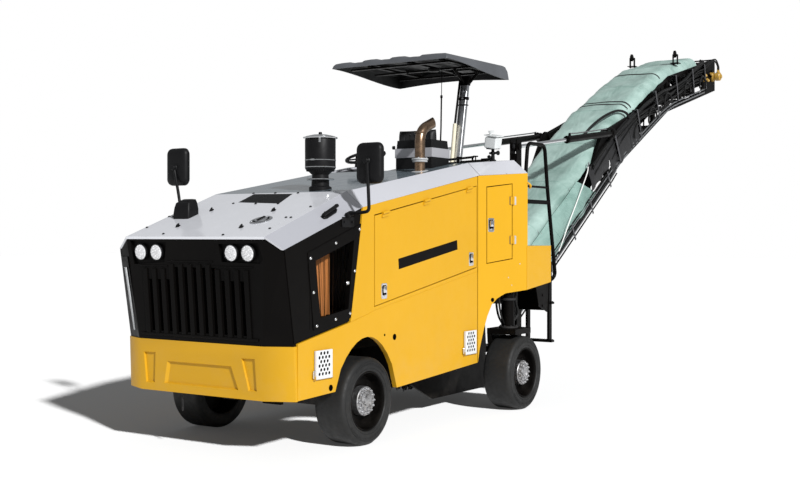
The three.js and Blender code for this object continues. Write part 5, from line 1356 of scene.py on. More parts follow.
def canopy_sheet():
    edge_y = [0.0, 0.010, 0.026, 0.044]
    ys = [(CY0 + e, None) for e in edge_y]
    ys += [(y, lift) for y, lift in canopy_ribs() if CY0 + 0.05 < y < CY1 - 0.05]
    ys += [(CY1 - e, None) for e in reversed(edge_y)]
    xs = [CX1 - e for e in edge_y] + [CX1 - 0.05 - k * (CX1 - CX0 - 0.1) / 24 for k in range(25)] \
        + [CX0 + e for e in reversed(edge_y)]

    def foot_z(x, y):
        back = (CX1 - x) / (CX1 - CX0)
        across = (y - CY0) / (CY1 - CY0)
        side = 0.052 + 0.083 * (3 * back ** 2 - 2 * back ** 3)
        rear_arch = 0.030 * math.sin(math.pi * across) * (1 if back > 0.9 else 0)
        return CTOP + 0.02 * back - side + rear_arch

    def drop(distance, x, y, roof):
        steps = ((0.0, 1.0), (0.010, 0.42), (0.026, 0.12), (0.044, 0.02), (0.070, 0.0))
        for (d0, f0), (d1, f1) in zip(steps, steps[1:]):
            if distance <= d1 + 1e-9:
                f = f0 + (f1 - f0) * (distance - d0) / (d1 - d0)
                return roof + (foot_z(x, y) - roof) * f
        return roof

    outer, inner = [], []
    for x in xs:
        row, row_in = [], []
        for y, lift in ys:
            back = (CX1 - x) / (CX1 - CX0)
            roof = CTOP + 0.022 * back + 0.010 * math.sin(math.pi * (y - CY0) / (CY1 - CY0))
            if lift is not None:
                roof += lift
            near_y = min(y - CY0, CY1 - y)
            near_x = min(CX1 - x, x - CX0)
            z = min(drop(near_y, x, y, roof), drop(near_x, x, y, roof))
            row.append((x, y, z))
            cx, cy = (CX0 + CX1) / 2, (CY0 + CY1) / 2
            row_in.append((cx + (x - cx) * 0.984, cy + (y - cy) * 0.984, min(z, roof) - (
                0.012 if min(near_x, near_y) > 0.009 else 0.0)))
        outer.append(row)
        inner.append(row_in)
    return outer, inner


outer, inner = canopy_sheet()
shell = Build()
rows, columns = len(outer), len(outer[0])
for sheet, look, flip in ((outer, 0, False), (inner, 1, True)):
    points = [p for row in sheet for p in row]
    faces = []
    for i in range(rows - 1):
        for j in range(columns - 1):
            q = (i * columns + j, (i + 1) * columns + j, (i + 1) * columns + j + 1, i * columns + j + 1)
            faces.append(tuple(reversed(q)) if flip else q)
    shell.mesh(points, faces, look)
rim = [(0, j) for j in range(columns)] + [(i, columns - 1) for i in range(1, rows)] \
    + [(rows - 1, j) for j in range(columns - 2, -1, -1)] + [(i, 0) for i in range(rows - 2, 0, -1)]
points, faces = [], []
for i, j in rim:
    points += [outer[i][j], inner[i][j]]
for k in range(len(rim)):
    a, b = 2 * k, 2 * ((k + 1) % len(rim))
    faces.append((a, b, b + 1, a + 1))
shell.mesh(points, faces, 0)
piece("canopy_shell", shell, ["grey_plastic", "black_plastic"], "chassis", replaces=["canopy"], smooth=30)

under = Build()
under.placed_box(Matrix.Translation((-2.530, 0.230, 3.128)), 0.150, 0.150, 0.012)
for y in (-0.42, 0.02, 0.36):
    under.box(-2.78, -1.84, y - 0.022, y + 0.022, 3.132, 3.150)
for x in (-2.72, -2.30, -1.90):
    under.box(x - 0.022, x + 0.022, -0.66, 0.42, 3.118, 3.134)
under.tube([(-2.50, 0.232, 3.000), (-2.30, 0.235, 3.118)], 0.014, 12)
under.tube([(-2.56, 0.232, 3.000), (-2.72, 0.235, 3.118)], 0.014, 12)
under.tube([(-2.53, 0.262, 3.010), (-2.53, 0.38, 3.118)], 0.012, 12)
under.lathe([(0.055, 0), (0.058, 0.012), (0.050, 0.030), (0.020, 0.034)], (-2.15, 0.10, 3.118), (0, 0, -1),
            28)
for x, y in ((-2.50, 0.36), (-2.42, 0.16), (-2.16, -0.2)):
    under.lathe([(0.016, 0), (0.018, 0.010), (0.010, 0.030), (0, 0.031)], (x, y, 3.120), (0, 0, -1), 16)
piece("canopy_underframe", under, ["black_paint"], "chassis", bevel=0.002)

mast = Build()


def mast_at(z):
    if z < 2.27:
        return Vector((-2.365, 0.230, z))
    return Vector((-2.365 - 0.165 * (z - 2.27) / 0.84, 0.230, z))


rings = []
for z in (1.4712, 2.20, 2.27, 2.34, 2.70, 3.060):
    at = mast_at(z)
    rings.append([at + Vector((u, v, 0)) for u, v in rounded_rect(0.050, 0.078, 0.010, 4)])
mast.rings(rings)
mast.placed_box(Matrix.Translation((-2.365, 0.230, 1.478)), 0.090, 0.120, 0.012)
for z in (2.86, 2.93):
    at = mast_at(z)
    mast.bolt(at + Vector((0.025, 0, 0)), (1, 0, 0.2), 0.011, 0.008)
piece("mast_tube", mast, ["bare_steel"], "chassis", replaces=["canopy_mast"], bevel=0.001)
collar = Build()
for z0, z1 in ((2.985, 3.075), (2.845, 2.872), (2.790, 2.800)):
    a, b = mast_at(z0), mast_at(z1)
    grow = 0.006
    collar.rings([[p + Vector((u, v, 0)) for u,
                   v in rounded_rect(0.050 + 2 * grow, 0.078 + 2 * grow, 0.010, 4)]
                  for p in (a, b)], 0)
strut_low = mast_at(2.22) + Vector((0.052, -0.035, 0))
strut_mid = mast_at(2.62) + Vector((0.056, -0.035, 0))
strut_top = mast_at(3.03) + Vector((0.045, -0.035, 0))
collar.bar(strut_mid, strut_top, 0.011, 16, 0)
collar.lathe([(0.020, -0.006), (0.020, 0.006)], mast_at(3.03) + Vector((0.035, -0.035, 0)), (0, 1, 0), 18, 0)
collar.bar(mast_at(2.22) + Vector((0.02, -0.035, 0)), strut_low + Vector((0.005, 0, 0)), 0.012, 12, 0)
piece("mast_fittings", collar, ["black_paint"], "chassis", bevel=0.001)
cream = Build()
cream.lathe([(0.008, 0), (0.0185, 0.006), (0.0185, 0.395), (0.012, 0.400)], strut_low, strut_mid - strut_low,
            24)
piece("mast_strut_sleeve", cream, ["cream_paint"], "chassis", slot="white_paint")
whip = Build()
foot = Vector((-2.28, 0.085, 2.245))
whip.lathe([(0.017, 0), (0.017, 0.012), (0.010, 0.020)], foot, (0, 0, 1), 18)
whip.tube([foot, foot + Vector((-0.022, 0, 0.33)), foot + Vector((-0.030, 0, 0.62))], 0.0075, 12)
whip.lathe([(0.0085, 0), (0.0115, 0.004), (0.0115, 0.026), (0.006, 0.030)], foot + Vector((-0.030, 0, 0.61)),
           (-0.02, 0, 1), 16)
whip.tube([foot + Vector((-0.030, 0, 0.63)), foot + Vector((-0.040, 0.0, 0.905))], 0.0035, 10)
piece("canopy_lock_rod", whip, ["black_paint"], "chassis")

# ------------------------------------------------------------------ conveyor
BOOM_LOW = ((-3.070, 0.562), (-6.150, 2.470), (-7.700, 3.200), (-9.700, 3.690))
BOOM = "conveyor_boom"


def boom_z(x):
    return height_on(BOOM_LOW, x)


def soft_boom_z(x):
    """The boom's lower line with its two bends eased, for what is laid along it."""
    return sum(boom_z(x + d) for d in (-0.30, -0.15, 0.0, 0.15, 0.30)) / 5


def along_boom(x, y, up):
    """A point beside the boom, up from its lower line at right angles to it."""
    slope = math.atan2(soft_boom_z(x - 0.02) - soft_boom_z(x + 0.02), 0.04)
    return Vector((x + math.sin(slope) * up, y, soft_boom_z(x) + math.cos(slope) * up))


refined("conveyor_frame", bevel=0.003, smooth=30)
chevrons = Build()
for k in range(26):
    x = -3.62 - k * 0.225
    up = 0.362
    for side in (-1, 1):
        a, b = along_boom(x, side * 0.015, up), along_boom(x + 0.10, side * 0.20, up)
        a2, b2 = along_boom(x - 0.022, side * 0.015, up), along_boom(x + 0.078, side * 0.20, up)
        lift = along_boom(x, 0, up + 0.012) - along_boom(x, 0, up)
        chevrons.slab([a, b, b2, a2], lift)
piece("belt_chevrons", chevrons, ["belt_rubber"], BOOM, bevel=0.002)

# the tarpaulin: bowed over the belt, sagging between its bows, creased along both hems
COVER_X0, COVER_X1 = -3.300, -9.000
BOW = 0.76


def wrinkle(x, t):
    """Height of the creases at x along the cover and t across it, from -1 to 1."""
    edge = abs(t) ** 2
    fold = 0.0062 * edge * math.sin(x * 23.0 + 2.2 * math.sin(x * 3.1) + 3.0 * t)
    fold += 0.0035 * math.sin(x * 9.3 + 5.1 * t + 1.7 * math.sin(x * 1.9))
    fold += 0.0025 * math.sin(x * 41.0 + 7.0 * t) * edge
    return fold


def cover_point(x, t):
    phase = ((COVER_X0 - x) / BOW) % 1.0
    sag = math.sin(math.pi * phase) ** 2
    half, rise = 0.352, 0.118
    flat = 0.62
    if abs(t) < flat:
        y, up = t / flat * 0.225, rise - 0.008 * (t / flat) ** 2
    else:
        s = (abs(t) - flat) / (1 - flat)
        y = math.copysign(0.225 + (half - 0.225) * math.sin(s * math.pi / 2) ** 0.9, t)
        up = rise - 0.008 - (rise + 0.020) * (1 - math.cos(s * math.pi / 2)) ** 0.9
    up -= sag * (0.020 * (1 - t * t) + 0.004)
    seam = 0.005 * math.exp(-((phase - (1 if phase > 0.5 else 0)) * BOW / 0.014) ** 2)
    return along_boom(x, y, 0.470 + 0.002 + up + wrinkle(x, t) + seam)


def sheet_piece(name, rows, thick, body, look="tarpaulin", replaces=()):
    """A thin closed sheet through a grid of points."""
    build = Build()
    columns = len(rows[0])
    upper = [p for row in rows for p in row]
    lower = []
    for i, row in enumerate(rows):
        for j, p in enumerate(row):
            ahead = rows[min(i + 1, len(rows) - 1)][j] - rows[max(i - 1, 0)][j]
            across = row[min(j + 1, columns - 1)] - row[max(j - 1, 0)]
            lower.append(p - ahead.cross(across).normalized() * thick)
    count = len(upper)
    faces = []
    for i in range(len(rows) - 1):
        for j in range(columns - 1):
            q = (i * columns + j, (i + 1) * columns + j, (i + 1) * columns + j + 1, i * columns + j + 1)
            faces.append(q)
            faces.append(tuple(count + k for k in reversed(q)))
    border = [j for j in range(columns)] + [i * columns + columns - 1 for i in range(1, len(rows))] \
        + [(len(rows) - 1) * columns + j for j in range(columns - 2, -1, -1)] \
        + [i * columns for i in range(len(rows) - 2, 0, -1)]
    for a, b in zip(border, border[1:] + border[:1]):
        faces.append((a, b, count + b, count + a))
    build.mesh(upper + lower, faces)
    return piece(name, build, [look], body, slot="tarpaulin", replaces=replaces, smooth=60)


steps, across = 300, 44
cover_rows = [[cover_point(COVER_X0 + (COVER_X1 - COVER_X0) * i / steps, -1 + 2 * j / across)
               for j in range(across + 1)] for i in range(steps + 1)]
cover = sheet_piece("cover_tarpaulin", cover_rows, 0.0022, BOOM, replaces=["conveyor_cover"])
# The hems take the darker copy of the tarpaulin: painted shade along the seams.
hems = Build()
for j in (0, across):
    hems.tube([row[j] for row in cover_rows[::3]], 0.0055, 8)
for k in range(1, 8):
    x = COVER_X0 - BOW * k
    hems.tube([cover_point(x, -1 + 2 * j / 30) + Vector((0.001, 0, 0.0012)) for j in range(31)], 0.0035, 6)
hem_piece = piece("cover_hems", hems, ["tarp_shade"], BOOM, slot="tarpaulin", smooth=60)

straps = Build()
for x in (-6.52, -6.62, -7.60):
    points = [cover_point(x, -1.0 + 2.0 * j / 40) + Vector((0, 0, 0.004)) for j in range(41)]
    points2 = [cover_point(x - 0.032, -1.0 + 2.0 * j / 40) + Vector((0, 0, 0.004)) for j in range(41)]
    for a, b, c, d in zip(points, points[1:], points2[1:], points2):
        straps.slab([a, b, c, d], (0, 0, 0.0022))
piece("cover_straps", straps, ["black_vinyl"], BOOM, slot="black_vinyl")
bows = Build()
for k in range(8):
    x = COVER_X0 - BOW * k - 0.02
    points = [cover_point(x, -0.96 + 1.92 * j / 24) - along_boom(x, 0, 0.014) + along_boom(x, 0,
                                                                                           0.0)
              for j in range(25)]
    bows.tube(points, 0.008, 8)
piece("cover_bows", bows, ["grey_pipe"], BOOM, slot="bare_steel")


# the flap that hangs over the near side of the lower boom
def flap_point(x, t):
    x -= 0.34 * t * (-3.42 - x) / 1.58
    bottom = 0.060 + 0.035 * (0.5 + 0.5 * math.sin(x * 2.0))
    up = 0.466 + (bottom - 0.466) * t
    bulge = 0.012 + 0.020 * math.sin(math.pi * min(t * 1.05,
                                                   1.0)) + 0.012 * math.sin(x * 9.0 + 2.6 * t) * (0.3 + t) \
        + 0.006 * t * math.sin(x * 23.0 - 5.0 * t)
    return along_boom(x, 0.3615 + max(bulge, 0.003), up)


# The flap and its hems take the darker copy of the tarpaulin: painted shade.
flap_rows = [[flap_point(-3.42 - 1.58 * i / 110, j / 26) for j in range(27)] for i in range(111)]
flap = sheet_piece("cover_side_flap", flap_rows, 0.0022, BOOM, "tarp_shade")
flap_trim = Build()
flap_trim.tube([row[26] for row in flap_rows[::2]], 0.0050, 8)
for i in (22, 58, 94):
    flap_trim.tube([flap_point(-3.42 - 1.58 * i / 110, j / 26) + Vector((0, 0.0015, 0)) for j in range(27)],
                   0.0035, 6)
piece("side_flap_hem", flap_trim, ["tarp_shade"], BOOM, slot="tarpaulin", smooth=60)
eyelets = Build()
for i in range(4, 110, 14):
    p = flap_point(-3.42 - 1.58 * i / 110, 0.05)
    eyelets.lathe([(0.009, 0), (0.009, 0.003), (0.005, 0.004), (0.005, 0.0)], p, (0, 1, 0), 16)
piece("side_flap_eyelets", eyelets, ["chrome"], BOOM, slot="bare_steel")

# pipes clipped in a row along the near side, and the hoses that carry on to the head
pipes = Build()
for k in range(5):
    up = -0.006 + 0.038 * k
    pipes.tube([along_boom(-3.16, 0.395, up - 0.01)] + [along_boom(-3.3 - 0.24 * i, 0.395,
                                                                   up) for i in range(11)]
               + [along_boom(-5.86, 0.395, up + 0.01)], 0.0085, 10, k % 2)
piece("boom_pipes_lower", pipes, ["hose", "grey_pipe"], BOOM, slot="black_plastic")
clips = Build()
for x in (-3.45, -4.05, -4.62, -5.10, -5.62):
    a, b = along_boom(x, 0.0, -0.030), along_boom(x, 0.0, 0.172)
    width = (along_boom(x - 0.022, 0, 0) - along_boom(x, 0, 0))
    clips.slab([Vector((a.x, 0.409, a.z)), Vector((b.x, 0.409, b.z)), Vector((b.x, 0.409, b.z)) + width,
                Vector((a.x, 0.409, a.z)) + width], (0, 0.006, 0))
    for t in (0.06, 0.94):
        clips.bolt(a.lerp(b, t) + Vector((0, 0.415, 0)) + width * 0.5, (0, 1, 0), 0.006, 0.006)
piece("boom_pipe_clips", clips, ["band"], BOOM, slot="bare_steel", bevel=0.001)
hoses = Build()
random.seed(31)
for k in range(9):
    base = 0.16 + 0.034 * k
    depth = 0.378 + 0.016 * (k % 3)
    points = []
    start = -5.35 if k > 4 else -5.80
    for i in range(15):
        x = start - (9.15 - abs(start)) * i / 14
        squeeze = 0.72 + 0.28 * math.cos(i * 0.9)
        up = 0.30 + (base - 0.30) * squeeze + random.uniform(-0.010, 0.010) + 0.06 * math.sin(i * 0.55)
        points.append(along_boom(x, depth + random.uniform(-0.004, 0.006), up))
    hoses.tube(smooth_path(points, 6), random.choice((0.009, 0.011, 0.0135)), 9)
piece("boom_hoses_upper", hoses, ["hose"], BOOM, slot="black_plastic")
loops = Build()
for x, size in ((-6.55, 0.11), (-7.05, 0.13), (-7.60, 0.12), (-8.35, 0.12), (-9.0, 0.13)):
    ring = []
    for k in range(17):
        a = math.radians(-30 + 240 * k / 16)
        ring.append(along_boom(x + size * math.cos(a), 0.425 + 0.008 * math.sin(2 * a),
                               0.20 + size * 0.8 * math.sin(a)))
    loops.tube(smooth_path(ring, 3), 0.0115, 10)
piece("boom_hose_loops", loops, ["hose"], BOOM, slot="black_plastic")
guard = Build()
for x0, x1, foot in ((-5.24, -5.74, 0.175), (-5.75, -6.35, 0.04), (-6.36, -6.62, 0.04)):
    rows = []
    for i in range(13):
        x = x0 + (x1 - x0) * i / 12
        rows.append([along_boom(x, 0.388 + 0.010 * math.sin(i * 1.3) * t + 0.020 * math.sin(math.pi * t),
                                0.44 + (foot - 0.44) * t)
                     for t in (0, 0.15, 0.3, 0.45, 0.6, 0.75, 0.9, 1.0)])
    rings = [row + [p - Vector((0, 0.004, 0)) for p in reversed(row)] for row in rows]
    guard.rings(rings)
piece("boom_hose_guard", guard, ["black_vinyl"], BOOM, slot="black_vinyl", smooth=50)
bands = Build()
for x in (-5.95, -6.62, -7.25, -7.95, -8.60, -9.12):
    low, high = along_boom(x, 0, 0.10), along_boom(x, 0, 0.45)
    width = along_boom(x - 0.030, 0, 0) - along_boom(x, 0, 0)
    outline = [Vector((low.x, 0.362, low.z)), Vector((low.x, 0.428, low.z)), Vector((high.x, 0.428, high.z)),
               Vector((high.x, 0.362, high.z)), Vector((high.x, 0.370, high.z)),
               Vector((high.x, 0.421, high.z)),
               Vector((low.x, 0.421, low.z + 0.006)), Vector((low.x, 0.370, low.z + 0.006))]
    bands.rings([outline, [p + width for p in outline]])
piece("boom_hose_bands", bands, ["band"], BOOM, slot="bare_steel")
grey = Build()
for up in (0.052, 0.095):
    grey.tube([along_boom(-5.9 - 0.25 * i, 0.384, up) for i in range(14)], 0.0095, 10)
piece("boom_pipes_upper", grey, ["grey_pipe"], BOOM, slot="bare_steel")
lattice = Build()
for k in range(10):
    x = -5.75 - 0.38 * k
    for side in (-1, 1):
        lattice.bar(along_boom(x, side * 0.341, 0.045), along_boom(x - 0.19, side * 0.341, 0.430), 0.010, 8)
        lattice.bar(along_boom(x - 0.19, side * 0.341, 0.430), along_boom(x - 0.38, side * 0.341, 0.045),
                    0.010, 8)
for k in range(11):
    x = -3.75 - 0.52 * k
    lattice.lathe([(0.030, 0), (0.034, 0.006), (0.034, 0.594), (0.030, 0.600)], along_boom(x, -0.300, 0.105),
                  (0, 1, 0), 20)
piece("boom_lattice", lattice, ["black_paint"], BOOM)

# gusset plates: rims, pins and fasteners on the near and far sides
gusset = Build()
for side in (1, -1):
    y = side * 0.388
    outline = [(-5.050, boom_z(-5.05) + 0.42), (-5.420, 2.735), (-5.500, 2.795), (-5.590, 2.795),
               (-6.200, boom_z(-6.2) + 0.50)]
    gusset.tube([(x, y, z) for x, z in outline], 0.011, 10, corner=0.03)
    gusset.lathe([(0.055, 0), (0.058, 0.004), (0.058, 0.010), (0.040, 0.014), (0.030, 0.014), (0.028, 0.022),
                  (0, 0.023)],
                 (-5.535, side * 0.484, 2.745), (0, side, 0), 32)
    for x, z in ((-5.30, 2.56), (-5.60, 2.62), (-5.85, 2.70), (-5.45, 2.46)):
        gusset.bolt((x, side * 0.386, z), (0, side, 0), 0.014, 0.010)
piece("gusset_trim", gusset, ["black_paint"], BOOM)

# hydraulic cylinders
LUFF_PIN_ON_BOOM = Vector((-5.535, 0.460, 2.745))
LUFF_PIN_ON_YOKE = Vector((-3.110, 0.460, 2.430))


def cylinder_at(distance, side):
    a, b = LUFF_PIN_ON_BOOM, LUFF_PIN_ON_YOKE
    p = a + (b - a).normalized() * distance
    return Vector((p.x, side * p.y, p.z))


SPAN = (LUFF_PIN_ON_BOOM - LUFF_PIN_ON_YOKE).length
for side, hand in ((1, "left"), (-1, "right")):
    axis = cylinder_at(1.0, side) - cylinder_at(0.0, side)
    barrel = Build()
    barrel.lathe([(0.026, 0.045), (0.036, 0.060), (0.037, 0.070), (0.037, 1.205), (0.041, 1.208),
                  (0.042, 1.240),
                  (0.039, 1.250), (0.0195, 1.250), (0.0195, 1.10)], cylinder_at(0, side), axis, 48,
                 caps=False)
    barrel.lathe([(0.0300, -0.017), (0.048, -0.017), (0.050, -0.013), (0.050, 0.013), (0.048, 0.017),
                  (0.0300, 0.017)],
                 cylinder_at(0, side), (0, 1, 0), 40, caps=False)
    for along in (0.12, 1.16):
        spot = cylinder_at(along, side) + Vector((0.005, 0, 0.034))
        barrel.lathe([(0.015, 0), (0.015, 0.018), (0.011, 0.022), (0.011, 0.034), (0, 0.034)], spot,
                     (0.12, 0, 1), 16)
    piece(f"luff_barrel_body_{hand}", barrel, ["black_paint"], f"luff_barrel_{hand}", slot="dark_grey_paint",
          replaces=[f"luff_barrel_{hand}"],
          smooth=40)
    feed = Build()
    feed.tube([cylinder_at(0.12, side) + Vector((0.01, 0, 0.058)),
               cylinder_at(0.30, side) + Vector((0.01, 0, 0.056)),
               cylinder_at(0.98, side) + Vector((0.01, 0, 0.054)),
               cylinder_at(1.16, side) + Vector((0.01, 0, 0.060))],
              0.007, 10, corner=0.04)
    piece(f"luff_feed_pipe_{hand}", feed, ["grey_pipe"], f"luff_barrel_{hand}", slot="bare_steel")
    stem = Build()
    stem.lathe([(0.0188, 1.05), (0.0188, SPAN - 0.060), (0.030, SPAN - 0.055), (0.034, SPAN - 0.030),
                (0.020, SPAN - 0.024)],
               cylinder_at(0, side), axis, 36)
    piece(f"luff_rod_stem_{hand}", stem, ["polished_rod"], f"luff_rod_{hand}", replaces=[f"luff_rod_{hand}"],
          smooth=40)
    eye = Build()
    eye.lathe([(0.021, -0.015), (0.043, -0.015), (0.045, -0.012), (0.045, 0.012), (0.043, 0.015),
               (0.021, 0.015)],
              cylinder_at(SPAN, side), (0, 1, 0), 36, caps=False)
    piece(f"luff_rod_eye_{hand}", eye, ["cast_grey"], f"luff_rod_{hand}", slot="polished_rod", smooth=40)

# rollers standing on the cover, and the bars and plates at the head
tops = Build()
for x, y in ((-8.30, -0.315), (-8.27, 0.315)):
    foot = along_boom(x, y, 0.575)
    up = (along_boom(x, y, 0.7) - along_boom(x, y, 0.6)).normalized()
    for dy in (-0.030, 0.030):
        tops.placed_box(facing(foot + up * 0.055 + Vector((0, dy, 0)), (1, 0, 0), up), 0.050, 0.140, 0.006)
    for r, w in ((0.050, 0.020), (0.050 * 0.55, 0.030)):
        tops.lathe([(r * 0.92, -w / 2), (r, -w / 2 + 0.003), (r * 0.93, 0), (r, w / 2 - 0.003),
                    (r * 0.92, w / 2)],
                   foot + up * 0.128, (0, 1, 0), 36)
    tops.placed_box(facing(foot + up * 0.004, (1, 0, 0), (0, 1, 0)), 0.120, 0.110, 0.008)
piece("hose_rollers", tops, ["black_paint"], BOOM)
head = Build()
hx, hz = -9.560, boom_z(-9.560) + 0.240
for side in (1, -1):
    y = side * 0.372
    head.lathe([(0.075, 0), (0.078, 0.006), (0.078, 0.016), (0.050, 0.022), (0.045, 0.034), (0, 0.036)],
               (hx, side * 0.361, hz), (0, side, 0), 40)
    for k in range(8):
        a = 2 * math.pi * k / 8
        head.bolt((hx + 0.062 * math.cos(a), side * 0.376, hz + 0.062 * math.sin(a)), (0, side, 0), 0.006,
                  0.006)
    head.bar((hx + 0.12, y, hz + 0.03), (hx + 0.42, y, hz - 0.06), 0.011, 12)
    head.placed_box(facing((hx + 0.45, y, hz - 0.07), (-1, 0, 0.25), (0, 0, 1)), 0.060, 0.050, 0.030)
for z_up in (0.20, 0.245):
    head.bar((hx + 0.03, -0.36, hz + z_up - 0.02), (hx + 0.03, 0.36, hz + z_up - 0.02), 0.010, 10)
for y in (-0.30, -0.1, 0.1, 0.30):
    head.placed_box(facing((hx - 0.075, y, hz + 0.135), (0.7, 0, 0.7), (0, 1, 0)), 0.16, 0.012, 0.02)
piece("boom_head_trim", head, ["black_paint"], BOOM, bevel=0.001)
clutter = Build()
for x, y, z, size in ((-9.30, 0.30, 3.98, 0.105), (-9.46, 0.22, 4.00, 0.120), (-9.52, 0.05, 3.99, 0.125),
                      (-9.40, -0.12, 4.02, 0.100)):
    ring = [Vector((x + size * math.cos(a), y + 0.03 * math.sin(2 * a), z + size * math.sin(a)))
            for a in (math.radians(-60 + 300 * k / 20) for k in range(21))]
    clutter.tube(smooth_path(ring, 2), 0.0125, 10)
for y, z in ((0.34, 3.985), (0.16, 3.960), (-0.08, 3.965), (-0.30, 3.970)):
    clutter.tube(smooth_path([(-9.02, y, z - 0.02), (-9.20, y * 0.9, z + 0.05), (-9.45, y * 0.95, z + 0.02),
                              (-9.66, y, z - 0.06)], 8), 0.0115, 10)
clutter.lathe([(0.070, -0.020), (0.082, -0.016), (0.074, 0), (0.082, 0.016), (0.070, 0.020)],
              (-9.600, 0.200, 3.985), (0, 1, 0), 32)
clutter.lathe([(0.060, -0.018), (0.070, -0.014), (0.063, 0), (0.070, 0.014), (0.060, 0.018)],
              (-9.250, 0.250, 3.990), (0, 1, 0), 32)
piece("boom_head_hoses", clutter, ["hose"], BOOM, slot="black_plastic")
brass = Build()
for x, y, z in ((-9.20, 0.372, 3.86), (-9.30, 0.374, 3.80), (-9.12, 0.372, 3.78), (-9.45, 0.380, 3.90)):
    brass.lathe([(0.016, -0.030), (0.019, -0.026), (0.019, -0.008), (0.013, -0.004), (0.013, 0.018),
                 (0.017, 0.022), (0.017, 0.036)],
                (x, y + 0.012, z), (1, 0, 0.3), 12)
piece("boom_head_fittings", brass, ["gold_paint"], BOOM)
refined("head_guard", bevel=0.003)
motor = Build()
motor.lathe([(0.068, 0.0005), (0.070, 0.006), (0.070, 0.030), (0.052, 0.034), (0.052, 0.060), (0.062, 0.064),
             (0.062, 0.118),
             (0.056, 0.126), (0.030, 0.130), (0.028, 0.146), (0, 0.147)], (hx, 0.3605, hz - 0.020),
            (0, 1, 0), 40)
for k in range(6):
    a = 2 * math.pi * k / 6
    motor.bolt((hx + 0.060 * math.cos(a), 0.391, hz - 0.020 + 0.060 * math.sin(a)), (0, 1, 0), 0.007, 0.007)
for dx in (-0.028, 0.028):
    motor.lathe([(0.014, 0), (0.014, 0.024), (0.011, 0.028), (0.011, 0.040), (0, 0.040)],
                (hx + dx, 0.455, hz + 0.036),
                (0, 0, 1), 16)
piece("belt_motor_body", motor, ["gold_paint"], BOOM, replaces=["belt_motor"])
lines = Build()
for dx, up in ((-0.028, 0.05), (0.028, 0.02)):
    start = Vector((hx + dx, 0.455, hz + 0.070))
    lines.tube(smooth_path([start, start + Vector((0.02, 0.0, 0.07)),
                            start + Vector((0.14, -0.02, 0.10 + up)),
                            along_boom(-9.20, 0.40, 0.36 + up)], 8), 0.010, 10)
piece("belt_motor_hoses", lines, ["hose"], BOOM, slot="black_plastic")
tension = Build()
for side in (1, -1):
    tx, tz = -3.330, boom_z(-3.330) + 0.240
    tension.lathe([(0.062, 0), (0.066, 0.004), (0.066, 0.014), (0.040, 0.020), (0.036, 0.030), (0, 0.031)],
                  (tx, side * 0.3605, tz), (0, side, 0), 36)
    tension.bar((tx + 0.06, side * 0.374, tz - 0.03), (tx + 0.20, side * 0.374, tz - 0.12), 0.010, 10)
piece("boom_tail_tension", tension, ["cast_grey"], BOOM)

# the hose that arches over the cover, and the rope beside it
arc_points = [Vector((-5.310, 0.150, 2.556)), Vector((-5.390, 0.195, 2.740)), Vector((-5.560, 0.255, 2.885)),
              Vector((-5.791, 0.300, 2.995)), Vector((-6.020, 0.345, 3.060)), Vector((-6.175, 0.390, 3.040)),
              Vector((-6.235, 0.403, 2.965))]
arc_path = smooth_path(arc_points, 12)
arc = Build()
arc.tube(arc_path, 0.0150, 14)
arc_hose = piece("cover_arch_hose", arc, ["hose"], BOOM, slot="black_plastic")
rope_points = [Vector((-5.020, 0.395, 2.330)), Vector((-4.93, 0.418, 2.240)), Vector((-4.68, 0.424, 1.960)),
               Vector((-4.46, 0.420, 1.700)), Vector((-4.33, 0.412, 1.520)), along_boom(-4.235, 0.385, 0.040)]
rope_path = smooth_path(rope_points, 12)
rope = Build()
rope.tube(rope_path, 0.0060, 10)
rope_piece = piece("cover_rope", rope, ["rope"], BOOM, slot="light_grey_plastic")
hooks = Build()
for at, down in ((rope_points[0], 1), (rope_points[-1], -1)):
    hooks.tube([at, at + Vector((-0.005 * down, -0.004, 0.030 * down)),
                at + Vector((-0.030, -0.006, 0.055 * down)), at + Vector((-0.050, -0.008, 0.030 * down))],
               0.005, 10,
               corner=0.015)
    hooks.lathe([(0.011, -0.012), (0.011, 0.012)], at, rope_points[1] - rope_points[0], 14)
hook_piece = piece("cover_rope_hooks", hooks, ["chrome"], BOOM, slot="bare_steel")

# ------------------------------------------------------------------ slew yoke
refined("slew_yoke", bevel=0.004)
yoke = Build()
for side in (1, -1):
    yoke.lathe([(0.030, 0), (0.034, 0.004), (0.034, 0.012), (0.016, 0.016), (0, 0.016)],
               (-3.110, side * 0.5003, 2.430),
               (0, side, 0), 28)
    yoke.lathe([(0.060, 0), (0.064, 0.005), (0.064, 0.014), (0.030, 0.018), (0, 0.018)],
               (-3.200, side * 0.4303, 0.800),
               (0, side, 0), 32)
    for z in (0.60, 1.00, 1.60, 2.10):
        yoke.bolt((-3.1100, side * 0.5003, z), (0, side, 0), 0.012, 0.009)
    yoke.slab([(-3.06, side * 0.498, 1.50), (-3.06, side * 0.498, 1.90), (-3.02, side * 0.498, 1.52)],
              (0, -side * 0.012, 0))
piece("slew_yoke_trim", yoke, ["black_paint"], "slew_yoke", bevel=0.001)

